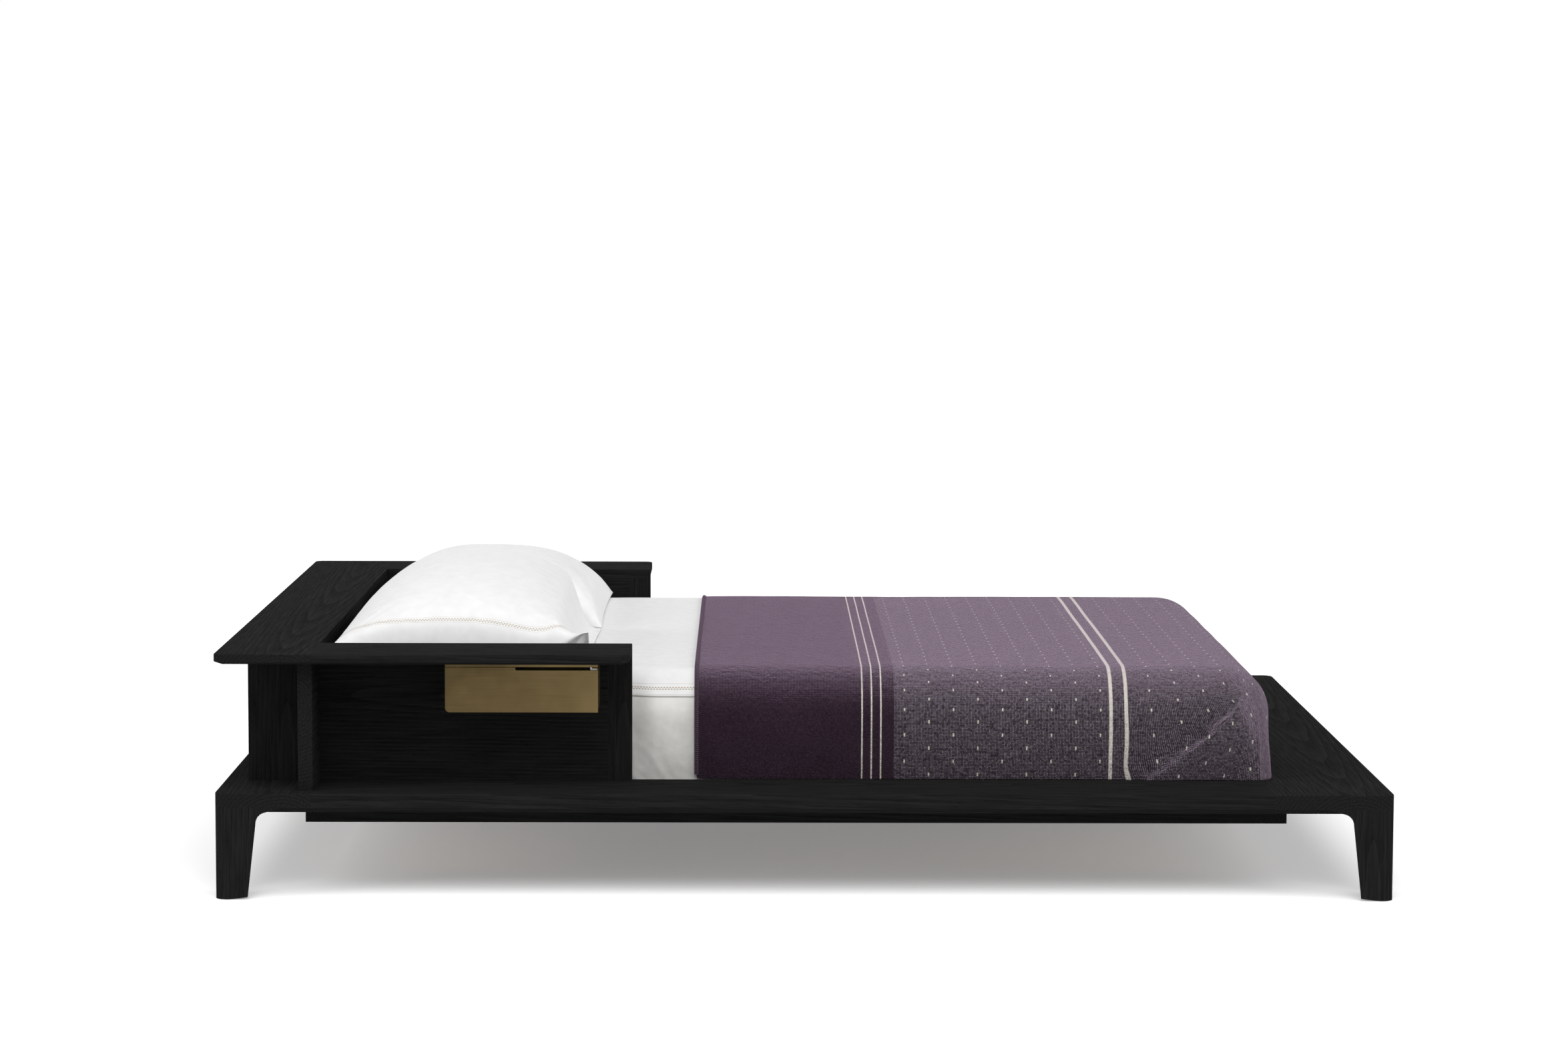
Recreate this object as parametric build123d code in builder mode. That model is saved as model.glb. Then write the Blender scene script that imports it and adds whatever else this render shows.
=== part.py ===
from build123d import *
from math import cos, radians, sin, tan
import os

os.makedirs("parts", exist_ok=True)

# A low platform bed in black-stained wood. X runs from the head (-X) to the foot (+X),
# the near side is -Y, and Z = 0 is the floor. All sizes are in millimetres.

# Mattress opening and the four boards around it
OPENING_LENGTH = 2000
OPENING_WIDTH = 1500
HEAD_BOARD_WIDTH = 200
FOOT_BOARD_WIDTH = 250
SIDE_RAIL_WIDTH = 200
PLATFORM_HEIGHT = 222
BOARD_THICKNESS = 40
BOARD_BEVEL = 10
CORNER_RADIUS = 25
EDGE_EASE = 2

# Legs: posts flush with the outer corners, thinner towards their inner arris, flared into the boards
LEG_FOOT_WIDTH = 68
LEG_NECK_WIDTH = 86
LEG_SPLAY_ANGLE = 12
LEG_FLARE_RADIUS = 24
LEG_FLARE_ANGLE = 75
LEG_ARRIS_RADIUS = 10
SOLE_LAND = 28
SOLE_RELIEF_ANGLE = 7
LEG_BOLT_RADIUS = 4
LEG_BOLT_LENGTH = 90
LEG_BOLT_GRIP = 26
LEG_BOLT_INSET = 36
LEG_BOLT_SPACING = 26

# Steel plates and screws under the board joints
JOINT_PLATE_LENGTH = 140
JOINT_PLATE_WIDTH = 44
JOINT_PLATE_THICKNESS = 3
JOINT_PLATE_SETBACK = 138
JOINT_SCREW_PITCH_X = 90
JOINT_SCREW_PITCH_Y = 22

# Pan-head wood screws
SCREW_SHANK_RADIUS = 2
SCREW_HEAD_RADIUS = 4.2
SCREW_HEAD_HEIGHT = 2.2
SCREW_DEPTH = 16
HOLE_CLEARANCE = 0.15

# Sub-frame that carries the slats
SUBFRAME_SETBACK = 170
SUBFRAME_DEPTH = 48
SUBFRAME_EASE = 1.5
LEDGER_WIDTH = 70
HEAD_CROSS_RAIL_WIDTH = 30
FOOT_CROSS_RAIL_WIDTH = 48
CENTRE_BEAM_WIDTH = 60
BEARER_WIDTH = 44
BEARER_OFFSET = 626
BEARER_BOLT_RADIUS = 3
BEARER_BOLT_HEAD_RADIUS = 5.5
BEARER_BOLT_HEAD_HEIGHT = 4
BEARER_BOLT_LENGTH = 110
BEARER_SOCKET_RADIUS = 2.4
BEARER_SOCKET_DEPTH = 2.5
SLAT_COUNT = 12
SLAT_WIDTH = 100
SLAT_THICKNESS = 22
SLAT_END_CLEARANCE = 2

# Head unit: upright panels with shelves on top
NICHE_HEIGHT = 268
SHELF_THICKNESS = 22
SHELF_BEVEL_WIDTH = 16
SHELF_BEVEL_HEIGHT = 6
SHELF_CORNER_RADIUS = 20
SHELF_EASE = 2
ARM_LENGTH = 660
HEADBOARD_THICKNESS = 30
HEADBOARD_SETBACK = 40
WALL_THICKNESS = 25
STILE_WIDTH = 51
FIN_SETBACK = 50
DOWEL_RADIUS = 5
DOWEL_IN_PANEL = 26
DOWEL_IN_SHELF = 13
DOWEL_IN_BOARD = 22
HEADBOARD_DOWEL_COUNT = 6
WALL_DOWEL_COUNT = 3
DOWEL_END_DISTANCE = 60

# Brass drawer hung under each arm shelf
DRAWER_OFFSET = 275
DRAWER_WIDTH = 318
DRAWER_SETBACK = 55
MOUNT_SHEET = 2
MOUNT_LIP = 10
FRONT_GAP = 1
FRONT_HEIGHT = 94
FRONT_SHEET = 2
FRONT_CORNER_RADIUS = 9
NOTCH_LENGTH = 172
NOTCH_DEPTH = 6
NOTCH_RADIUS = 3
TRAY_SHEET = 1.5
TRAY_BEND_RADIUS = 3
TRAY_HEAD_INSET = 11
TRAY_RISE = 3
TRAY_FLANGE = 12
TRAY_BACK_CLEARANCE = 3
FLANGE_DROP = 1
RUN_CLEARANCE = 0.3
RAIL_THICKNESS = 3
RAIL_SIDE_CLEARANCE = 1
RAIL_END_CLEARANCE = 2
DRAWER_TRAVEL = 85
STOP_LUG_LENGTH = 5
STOP_LUG_HEIGHT = 5
STOP_CLEARANCE = 0.5
BACK_WALL_CLEARANCE = 1.5
MOUNT_SCREW_PITCH_X = 220
MOUNT_SCREW_PITCH_Y = 60

# Bedding
MATTRESS_CLEARANCE = 8
MATTRESS_THICKNESS = 247
MATTRESS_CORNER_RADIUS = 95
MATTRESS_EDGE_RADIUS = 85
MATTRESS_BASE_RADIUS = 9
MATTRESS_BASE_TUCK = 2
SIDE_SWELL = 12
FOOT_SWELL = 26
SWELL_OFFSET = 12
SOFT_CLEARANCE = 0.3
SHEET_THICKNESS = 2
SHEET_HEAD_OFFSET = 120
SHEET_FOOT_OFFSET = 1880
SHEET_DROP = 50
BLANKET_THICKNESS = 4.5
BLANKET_HEAD_OFFSET = 795
FOLD_LENGTH = 167
FOLD_HEIGHT = 128
FOLD_THICKNESS = 5
PILLOW_WIDTH = 545
PILLOW_HEIGHT = 172
PILLOW_HEAD_GAP = 22
PILLOW_SIDE_GAP = 12.5
PILLOW_MIDDLE_GAP = 15
# Height of each pillow outline as a share of the pillow's height, its size as a share of the
# seam outline, and how far its sides bow out (or draw in) for each unit of their half length
PILLOW_LEVELS = (
    (-0.05, 0.60, 0.06),
    (0.14, 0.90, 0.01),
    (0.36, 1.0, -0.05),
    (0.66, 0.86, 0.03),
    (0.90, 0.58, 0.11),
    (1.0, 0.26, 0.20),
)

# Overall box and the levels that the pieces share
BED_LENGTH = HEAD_BOARD_WIDTH + OPENING_LENGTH + FOOT_BOARD_WIDTH
BED_WIDTH = OPENING_WIDTH + 2 * SIDE_RAIL_WIDTH
HEAD_X = -BED_LENGTH / 2
FOOT_X = BED_LENGTH / 2
EDGE_Y = BED_WIDTH / 2
OPENING_HEAD_X = HEAD_X + HEAD_BOARD_WIDTH
OPENING_FOOT_X = FOOT_X - FOOT_BOARD_WIDTH
OPENING_X = (OPENING_HEAD_X + OPENING_FOOT_X) / 2
OPENING_Y = OPENING_WIDTH / 2
UNDERSIDE_Z = PLATFORM_HEIGHT - BOARD_THICKNESS
RIM_Z = UNDERSIDE_Z + BOARD_BEVEL
SUBFRAME_Z = UNDERSIDE_Z - SUBFRAME_DEPTH
SUBFRAME_Y = EDGE_Y - SUBFRAME_SETBACK
SLAT_TOP_Z = UNDERSIDE_Z + SLAT_THICKNESS
SHELF_Z = PLATFORM_HEIGHT + NICHE_HEIGHT
ARM_END_X = OPENING_HEAD_X + ARM_LENGTH
WALL_FACE_Y = OPENING_Y + WALL_THICKNESS
HEADBOARD_BACK_X = OPENING_HEAD_X - HEADBOARD_THICKNESS


def save(piece, name):
    piece.label = name
    export_step(piece, f"parts/{name}.step")


def block(low, high):
    """Adds a squared block between two opposite corners to the piece being built."""
    middle = tuple((a + b) / 2 for a, b in zip(low, high))
    with Locations(middle):
        Box(*(b - a for a, b in zip(low, high)))


def spread(start, stop, count):
    """Evenly spaced places from start to stop, both included."""
    return [start + (stop - start) * i / (count - 1) for i in range(count)]


# Dowel places, shared by the dowels and by the sockets in what they join
headboard_dowels = [
    (OPENING_HEAD_X - HEADBOARD_THICKNESS / 2, y)
    for y in spread(
        -EDGE_Y + HEADBOARD_SETBACK + DOWEL_END_DISTANCE,
        EDGE_Y - HEADBOARD_SETBACK - DOWEL_END_DISTANCE,
        HEADBOARD_DOWEL_COUNT,
    )
]
wall_line_y = OPENING_Y + WALL_THICKNESS / 2
near_wall_dowels = [
    (x, -wall_line_y)
    for x in spread(
        OPENING_HEAD_X + DOWEL_END_DISTANCE,
        ARM_END_X - STILE_WIDTH - DOWEL_END_DISTANCE,
        WALL_DOWEL_COUNT,
    )
]
near_stile_dowel = [(ARM_END_X - STILE_WIDTH / 2, -wall_line_y)]
near_fin_dowel = [((HEAD_X + FIN_SETBACK + HEADBOARD_BACK_X) / 2, -wall_line_y)]


def far(points):
    return [(x, -y) for x, y in points]


near_rail_dowels = near_wall_dowels + near_stile_dowel
fin_dowels = near_fin_dowel + far(near_fin_dowel)
head_dowels = headboard_dowels + fin_dowels
all_dowels = head_dowels + near_rail_dowels + far(near_rail_dowels)
SOCKET_RADIUS = DOWEL_RADIUS + HOLE_CLEARANCE
SOCKET_SPARE = HOLE_CLEARANCE


def at_height(points, z):
    return [(x, y, z) for x, y in points]


def drill_panel(points):
    """Drills dowel sockets into the top and bottom edges of the upright panel being built."""
    depth = DOWEL_IN_PANEL + SOCKET_SPARE
    with Locations(*at_height(points, SHELF_Z)):
        Hole(SOCKET_RADIUS, depth)
    with Locations(*at_height(points, PLATFORM_HEIGHT + depth)):
        Hole(SOCKET_RADIUS, depth)


# Screw places under the platform: four to each joint plate
plate_centres = [
    (x, side * (EDGE_Y - JOINT_PLATE_SETBACK))
    for x in (OPENING_HEAD_X, OPENING_FOOT_X)
    for side in (-1, 1)
]
plate_screws = [
    (x + i * JOINT_SCREW_PITCH_X / 2, y + j * JOINT_SCREW_PITCH_Y / 2)
    for x, y in plate_centres
    for i in (-1, 1)
    for j in (-1, 1)
]


def leg_bolt_places(corner_x, corner_y):
    """Two bolts on the diagonal of a leg, about its middle."""
    inward_x = -1 if corner_x > 0 else 1
    inward_y = -1 if corner_y > 0 else 1
    steps = (LEG_BOLT_INSET - LEG_BOLT_SPACING / 2, LEG_BOLT_INSET + LEG_BOLT_SPACING / 2)
    return [(corner_x + inward_x * s, corner_y + inward_y * s) for s in steps]


corners = {
    "leg_head_near": (HEAD_X, -EDGE_Y),
    "leg_head_far": (HEAD_X, EDGE_Y),
    "leg_foot_near": (FOOT_X, -EDGE_Y),
    "leg_foot_far": (FOOT_X, EDGE_Y),
}
leg_bolts_at = [p for x, y in corners.values() for p in leg_bolt_places(x, y)]


def within(points, low_x, high_x):
    return [(x, y) for x, y in points if low_x < x < high_x]


def end_board(outer_x, inner_x, dowels):
    """A full-width board, rounded at its outer corners and bevelled below its outer edges."""
    low_x, high_x = sorted((outer_x, inner_x))
    bolts = within(leg_bolts_at, low_x, high_x)
    screws = within(plate_screws, low_x, high_x)
    with BuildPart() as board:
        with BuildSketch(Plane.XY.offset(UNDERSIDE_Z)) as outline:
            with Locations(((outer_x + inner_x) / 2, 0)):
                Rectangle(high_x - low_x, BED_WIDTH)
            outer = outline.vertices().filter_by(lambda v: abs(v.X - outer_x) < 1)
            fillet(outer, CORNER_RADIUS)
        extrude(amount=BOARD_THICKNESS)
        under = board.faces().sort_by(Axis.Z)[0].edges()
        chamfer(under.filter_by(lambda e: abs(e.center().X - inner_x) > 1), BOARD_BEVEL)
        top = board.faces().sort_by(Axis.Z)[-1].edges()
        fillet(top.filter_by(lambda e: abs(e.center().X - inner_x) > 1), EDGE_EASE)
        if dowels:
            with Locations(*at_height(dowels, PLATFORM_HEIGHT)):
                Hole(SOCKET_RADIUS, DOWEL_IN_BOARD + SOCKET_SPARE)
        with BuildSketch(Plane.XY.offset(UNDERSIDE_Z)):
            with Locations(*bolts):
                Circle(LEG_BOLT_RADIUS + HOLE_CLEARANCE)
        extrude(amount=LEG_BOLT_GRIP + SOCKET_SPARE, mode=Mode.SUBTRACT)
        with BuildSketch(Plane.XY.offset(UNDERSIDE_Z)):
            with Locations(*screws):
                Circle(SCREW_SHANK_RADIUS + HOLE_CLEARANCE)
        extrude(amount=SCREW_DEPTH + SOCKET_SPARE, mode=Mode.SUBTRACT)
    return board.part


head_board = end_board(HEAD_X, OPENING_HEAD_X, head_dowels)
save(head_board, "head_board")
foot_board = end_board(FOOT_X, OPENING_FOOT_X, [])
save(foot_board, "foot_board")

# Side rails between the end boards, with the same bevel below the outer edge
rail_screws = within(plate_screws, OPENING_HEAD_X, OPENING_FOOT_X)
with BuildPart() as near_rail:
    block((OPENING_HEAD_X, -EDGE_Y, UNDERSIDE_Z), (OPENING_FOOT_X, -OPENING_Y, PLATFORM_HEIGHT))
    long_edges = near_rail.edges().filter_by(Axis.X)
    chamfer(long_edges.sort_by(Axis.Z)[:2].sort_by(Axis.Y)[0], BOARD_BEVEL)
    fillet(near_rail.edges().filter_by(Axis.X).group_by(Axis.Z)[-1], EDGE_EASE)
    with Locations(*at_height(near_rail_dowels, PLATFORM_HEIGHT)):
        Hole(SOCKET_RADIUS, DOWEL_IN_BOARD + SOCKET_SPARE)
    with BuildSketch(Plane.XY.offset(UNDERSIDE_Z)):
        with Locations(*[p for p in rail_screws if p[1] < 0]):
            Circle(SCREW_SHANK_RADIUS + HOLE_CLEARANCE)
    extrude(amount=SCREW_DEPTH + SOCKET_SPARE, mode=Mode.SUBTRACT)
save(near_rail.part, "side_rail_near")

with BuildPart() as far_rail:
    mirror(near_rail.part, about=Plane.XZ)
save(far_rail.part, "side_rail_far")


def leg_profile(plane, corner, inward):
    """A leg's tapered side view with a concave flare that runs out along the board's bevel."""
    turn = radians(LEG_FLARE_ANGLE)
    flare_z = UNDERSIDE_Z - LEG_FLARE_RADIUS * sin(turn)

    def flare(angle):
        reach = LEG_NECK_WIDTH + LEG_FLARE_RADIUS * (1 - cos(angle))
        return (corner + inward * reach, flare_z + LEG_FLARE_RADIUS * sin(angle))

    runout = (flare(turn)[0] + inward * BOARD_BEVEL * tan(turn), RIM_Z)
    with BuildSketch(plane) as profile:
        with BuildLine():
            Polyline((corner, RIM_Z), (corner, 0), (corner + inward * LEG_FOOT_WIDTH, 0), flare(0))
            ThreePointArc(flare(0), flare(turn / 2), flare(turn))
            Polyline(flare(turn), runout, (corner, RIM_Z))
        make_face()
    return profile.sketch


def leg(board, corner_x, corner_y):
    """A corner leg: flush outside, splayed and flared inside, scribed to the board, sole relieved."""
    inward_x = -1 if corner_x > 0 else 1
    inward_y = -1 if corner_y > 0 else 1
    splay = tan(radians(LEG_SPLAY_ANGLE))
    side_view = leg_profile(Plane.XZ.offset(-corner_y), corner_x, inward_x)
    end_view = leg_profile(Plane.YZ.offset(corner_x), corner_y, inward_y)
    slope = tan(radians(SOLE_RELIEF_ANGLE))
    relief = Plane(
        origin=(corner_x + inward_x * SOLE_LAND, corner_y, 0),
        z_dir=(-inward_x * slope, -inward_y * slope, 1),
    )
    with BuildPart() as post:
        extrude(side_view, amount=HEAD_BOARD_WIDTH, dir=(-inward_x * splay, inward_y, 0))
        extrude(
            end_view,
            amount=HEAD_BOARD_WIDTH,
            dir=(inward_x, -inward_y * splay, 0),
            mode=Mode.INTERSECT,
        )
        fillet(post.edges().filter_by(Axis.Z), CORNER_RADIUS)
        inner = (corner_x + inward_x * LEG_FOOT_WIDTH, corner_y + inward_y * LEG_FOOT_WIDTH, 0)
        arris = post.edges().filter_by(lambda e: not e.is_closed and abs(e.tangent_at(0).Z) > 0.9)
        fillet(arris.sort_by_distance(inner)[0], LEG_ARRIS_RADIUS)
        add(board, mode=Mode.SUBTRACT)
        split(bisect_by=relief, keep=Keep.TOP)
        bolt_depth = LEG_BOLT_LENGTH - LEG_BOLT_GRIP + SOCKET_SPARE
        with Locations(*at_height(leg_bolt_places(corner_x, corner_y), RIM_Z)):
            Hole(LEG_BOLT_RADIUS + HOLE_CLEARANCE, BOARD_BEVEL + bolt_depth)
    return post.part


for name, (corner_x, corner_y) in corners.items():
    save(leg(head_board if corner_x < 0 else foot_board, corner_x, corner_y), name)

# Hanger bolts that draw the legs up to the boards
with BuildPart() as leg_bolts:
    with BuildSketch(Plane.XY.offset(UNDERSIDE_Z + LEG_BOLT_GRIP)):
        with Locations(*leg_bolts_at):
            Circle(LEG_BOLT_RADIUS)
    extrude(amount=-LEG_BOLT_LENGTH)
save(leg_bolts.part, "leg_bolts")

# Steel plates across the four board joints, and their screws
with BuildPart() as joint_plates:
    with BuildSketch(Plane.XY.offset(UNDERSIDE_Z)):
        with Locations(*plate_centres):
            RectangleRounded(JOINT_PLATE_LENGTH, JOINT_PLATE_WIDTH, JOINT_PLATE_WIDTH / 6)
        with Locations(*plate_screws):
            Circle(SCREW_SHANK_RADIUS + HOLE_CLEARANCE, mode=Mode.SUBTRACT)
    extrude(amount=-JOINT_PLATE_THICKNESS)
save(joint_plates.part, "joint_plates")


def screws(points, head_z, grip):
    """Pan-head screws driven upwards, with their heads bearing at head_z."""
    with BuildPart() as group:
        with BuildSketch(Plane.XY.offset(head_z)):
            with Locations(*points):
                Circle(SCREW_HEAD_RADIUS)
        extrude(amount=-SCREW_HEAD_HEIGHT)
        with BuildSketch(Plane.XY.offset(head_z)):
            with Locations(*points):
                Circle(SCREW_SHANK_RADIUS)
        extrude(amount=grip + SCREW_DEPTH)
    return group.part


save(
    screws(plate_screws, UNDERSIDE_Z - JOINT_PLATE_THICKNESS, JOINT_PLATE_THICKNESS),
    "joint_plate_screws",
)

# Sub-frame: ledgers lapped under the side rails, cross rails under the end boards
bearer_x = OPENING_HEAD_X + BEARER_OFFSET
bearer_z = (SUBFRAME_Z + UNDERSIDE_Z) / 2
ledger_inner_y = SUBFRAME_Y - LEDGER_WIDTH
beam_y = CENTRE_BEAM_WIDTH / 2
bolt_reach = BEARER_BOLT_LENGTH - LEDGER_WIDTH
near_bolt_plane = Plane(origin=(bearer_x, -SUBFRAME_Y, bearer_z), z_dir=(0, -1, 0))

with BuildPart() as near_ledger:
    block((OPENING_HEAD_X, -SUBFRAME_Y, SUBFRAME_Z), (OPENING_FOOT_X, -ledger_inner_y, UNDERSIDE_Z))
    foot_end = near_ledger.faces().sort_by(Axis.X)[-1].edges()
    fillet([foot_end.sort_by(Axis.Y)[0], foot_end.sort_by(Axis.Z)[0]], SUBFRAME_EASE)
    with BuildSketch(near_bolt_plane):
        Circle(BEARER_BOLT_RADIUS + HOLE_CLEARANCE)
    extrude(amount=-LEDGER_WIDTH, mode=Mode.SUBTRACT)
save(near_ledger.part, "ledger_near")

with BuildPart() as far_ledger:
    mirror(near_ledger.part, about=Plane.XZ)
save(far_ledger.part, "ledger_far")

with BuildPart() as near_bearer:
    block(
        (bearer_x - BEARER_WIDTH / 2, -ledger_inner_y, SUBFRAME_Z),
        (bearer_x + BEARER_WIDTH / 2, -beam_y, UNDERSIDE_Z),
    )
    with BuildSketch(near_bolt_plane.offset(-LEDGER_WIDTH)):
        Circle(BEARER_BOLT_RADIUS + HOLE_CLEARANCE)
    extrude(amount=-(bolt_reach + SOCKET_SPARE), mode=Mode.SUBTRACT)
save(near_bearer.part, "bearer_near")

with BuildPart() as far_bearer:
    mirror(near_bearer.part, about=Plane.XZ)
save(far_bearer.part, "bearer_far")

# Socket-head bolts through the ledgers into the bearers
with BuildPart() as bearer_bolts:
    with BuildSketch(near_bolt_plane):
        Circle(BEARER_BOLT_HEAD_RADIUS)
    extrude(amount=BEARER_BOLT_HEAD_HEIGHT)
    with BuildSketch(near_bolt_plane):
        Circle(BEARER_BOLT_RADIUS)
    extrude(amount=-BEARER_BOLT_LENGTH)
    with BuildSketch(near_bolt_plane.offset(BEARER_BOLT_HEAD_HEIGHT)):
        RegularPolygon(BEARER_SOCKET_RADIUS, 6)
    extrude(amount=-BEARER_SOCKET_DEPTH, mode=Mode.SUBTRACT)
    mirror(bearer_bolts.part, about=Plane.XZ)
save(bearer_bolts.part, "bearer_bolts")

with BuildPart() as head_cross_rail:
    block(
        (OPENING_HEAD_X - HEAD_CROSS_RAIL_WIDTH, -SUBFRAME_Y, SUBFRAME_Z),
        (OPENING_HEAD_X, SUBFRAME_Y, UNDERSIDE_Z),
    )
save(head_cross_rail.part, "cross_rail_head")

with BuildPart() as foot_cross_rail:
    block(
        (OPENING_FOOT_X, -SUBFRAME_Y, SUBFRAME_Z),
        (OPENING_FOOT_X + FOOT_CROSS_RAIL_WIDTH, SUBFRAME_Y, UNDERSIDE_Z),
    )
    ends = foot_cross_rail.edges().filter_by(Axis.Z).group_by(Axis.X)[0]
    fillet(ends, SUBFRAME_EASE)
save(foot_cross_rail.part, "cross_rail_foot")

with BuildPart() as centre_beam:
    block((OPENING_HEAD_X, -beam_y, SUBFRAME_Z), (OPENING_FOOT_X, beam_y, UNDERSIDE_Z))
save(centre_beam.part, "centre_beam")

# Slats across the opening, evenly spaced with equal gaps at the ends
slat_gap = (OPENING_LENGTH - SLAT_COUNT * SLAT_WIDTH) / (SLAT_COUNT + 1)
slat_end_y = OPENING_Y - SLAT_END_CLEARANCE
for i in range(SLAT_COUNT):
    slat_x = OPENING_HEAD_X + slat_gap + i * (SLAT_WIDTH + slat_gap)
    with BuildPart() as slat:
        block((slat_x, -slat_end_y, UNDERSIDE_Z), (slat_x + SLAT_WIDTH, slat_end_y, SLAT_TOP_Z))
        fillet(slat.edges().filter_by(Axis.Y), SLAT_THICKNESS / 8)
    save(slat.part, f"slat_{i + 1:02d}")

# Shelves: a head shelf right across, and an arm shelf along each side
def shelf(low, high, square_edges, rounded, dowels, pilots):
    """A thin top bevelled below its outer edges; square_edges picks the edges left square."""
    with BuildPart() as top:
        with BuildSketch(Plane.XY.offset(SHELF_Z)) as outline:
            with Locations(((low[0] + high[0]) / 2, (low[1] + high[1]) / 2)):
                Rectangle(high[0] - low[0], high[1] - low[1])
            fillet(outline.vertices().filter_by(rounded), SHELF_CORNER_RADIUS)
        extrude(amount=SHELF_THICKNESS)
        under = top.faces().sort_by(Axis.Z)[0]
        outer = under.edges().filter_by(lambda e: not square_edges(e.center()))
        chamfer(outer, SHELF_BEVEL_WIDTH, SHELF_BEVEL_HEIGHT, reference=under)
        upper = top.faces().sort_by(Axis.Z)[-1].edges()
        fillet(upper.filter_by(lambda e: not square_edges(e.center())), SHELF_EASE)
        with BuildSketch(Plane.XY.offset(SHELF_Z)):
            with Locations(*dowels):
                Circle(SOCKET_RADIUS)
            if pilots:
                with Locations(*pilots):
                    Circle(SCREW_SHANK_RADIUS + HOLE_CLEARANCE)
        extrude(amount=DOWEL_IN_SHELF + SOCKET_SPARE, mode=Mode.SUBTRACT)
    return top.part


head_shelf = shelf(
    (HEAD_X, -EDGE_Y),
    (OPENING_HEAD_X, EDGE_Y),
    lambda c: abs(c.X - OPENING_HEAD_X) < 1,
    lambda v: v.X < OPENING_HEAD_X - 1,
    head_dowels,
    [],
)
save(head_shelf, "head_shelf")

drawer_head_x = OPENING_HEAD_X + DRAWER_OFFSET
drawer_foot_x = drawer_head_x + DRAWER_WIDTH
drawer_front_y = -(EDGE_Y - DRAWER_SETBACK)
mount_centre = ((drawer_head_x + drawer_foot_x) / 2, (drawer_front_y - WALL_FACE_Y) / 2)
mount_screws = [
    (mount_centre[0] + i * MOUNT_SCREW_PITCH_X / 2, mount_centre[1] + j * MOUNT_SCREW_PITCH_Y / 2)
    for i in (-1, 1)
    for j in (-1, 1)
]

near_arm = shelf(
    (OPENING_HEAD_X, -EDGE_Y),
    (ARM_END_X, -OPENING_Y),
    lambda c: abs(c.X - OPENING_HEAD_X) < 1 or abs(c.Y + OPENING_Y) < 1,
    lambda v: v.X > ARM_END_X - 1 and v.Y < -OPENING_Y - 1,
    near_rail_dowels,
    mount_screws,
)
save(near_arm, "arm_shelf_near")

with BuildPart() as far_arm:
    mirror(near_arm, about=Plane.XZ)
save(far_arm.part, "arm_shelf_far")

# Headboard panel, back fins, side walls and their end stiles
with BuildPart() as headboard:
    block(
        (HEADBOARD_BACK_X, -EDGE_Y + HEADBOARD_SETBACK, PLATFORM_HEIGHT),
        (OPENING_HEAD_X, EDGE_Y - HEADBOARD_SETBACK, SHELF_Z),
    )
    drill_panel(headboard_dowels)
save(headboard.part, "headboard_panel")

with BuildPart() as near_fin:
    block((HEAD_X + FIN_SETBACK, -WALL_FACE_Y, PLATFORM_HEIGHT), (HEADBOARD_BACK_X, -OPENING_Y, SHELF_Z))
    drill_panel(near_fin_dowel)
save(near_fin.part, "back_fin_near")

with BuildPart() as near_wall:
    block(
        (OPENING_HEAD_X, -WALL_FACE_Y, PLATFORM_HEIGHT),
        (ARM_END_X - STILE_WIDTH, -OPENING_Y, SHELF_Z),
    )
    drill_panel(near_wall_dowels)
save(near_wall.part, "side_wall_near")

# The stile's top is scribed to the bevel that crosses it at the end of the arm shelf
with BuildPart() as near_stile:
    block(
        (ARM_END_X - STILE_WIDTH, -WALL_FACE_Y, PLATFORM_HEIGHT),
        (ARM_END_X, -OPENING_Y, SHELF_Z + SHELF_BEVEL_HEIGHT),
    )
    add(near_arm, mode=Mode.SUBTRACT)
    drill_panel(near_stile_dowel)
save(near_stile.part, "end_stile_near")

for name, piece in (("back_fin_far", near_fin), ("side_wall_far", near_wall), ("end_stile_far", near_stile)):
    with BuildPart() as mirrored:
        mirror(piece.part, about=Plane.XZ)
    save(mirrored.part, name)

# Dowels below and above the upright panels
with BuildPart() as dowels:
    with BuildSketch(Plane.XY.offset(PLATFORM_HEIGHT - DOWEL_IN_BOARD)):
        with Locations(*all_dowels):
            Circle(DOWEL_RADIUS)
    extrude(amount=DOWEL_IN_BOARD + DOWEL_IN_PANEL)
    with BuildSketch(Plane.XY.offset(SHELF_Z - DOWEL_IN_PANEL)):
        with Locations(*all_dowels):
            Circle(DOWEL_RADIUS)
    extrude(amount=DOWEL_IN_PANEL + DOWEL_IN_SHELF)
save(dowels.part, "panel_dowels")

# Drawer mount plate: brass sheet under the shelf with its front edge folded down
mount_z = SHELF_Z - MOUNT_SHEET
lip_z = SHELF_Z - MOUNT_LIP
with BuildPart() as near_mount:
    with BuildSketch(Plane.YZ.offset(drawer_head_x)):
        with BuildLine():
            Polyline(
                (drawer_front_y, lip_z),
                (drawer_front_y + MOUNT_SHEET, lip_z),
                (drawer_front_y + MOUNT_SHEET, mount_z),
                (-WALL_FACE_Y, mount_z),
                (-WALL_FACE_Y, SHELF_Z),
                (drawer_front_y, SHELF_Z),
                close=True,
            )
        make_face()
    extrude(amount=DRAWER_WIDTH)
    with BuildSketch(Plane.XY.offset(SHELF_Z)):
        with Locations(*mount_screws):
            Circle(SCREW_SHANK_RADIUS + HOLE_CLEARANCE)
    extrude(amount=-MOUNT_SHEET, mode=Mode.SUBTRACT)

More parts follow.
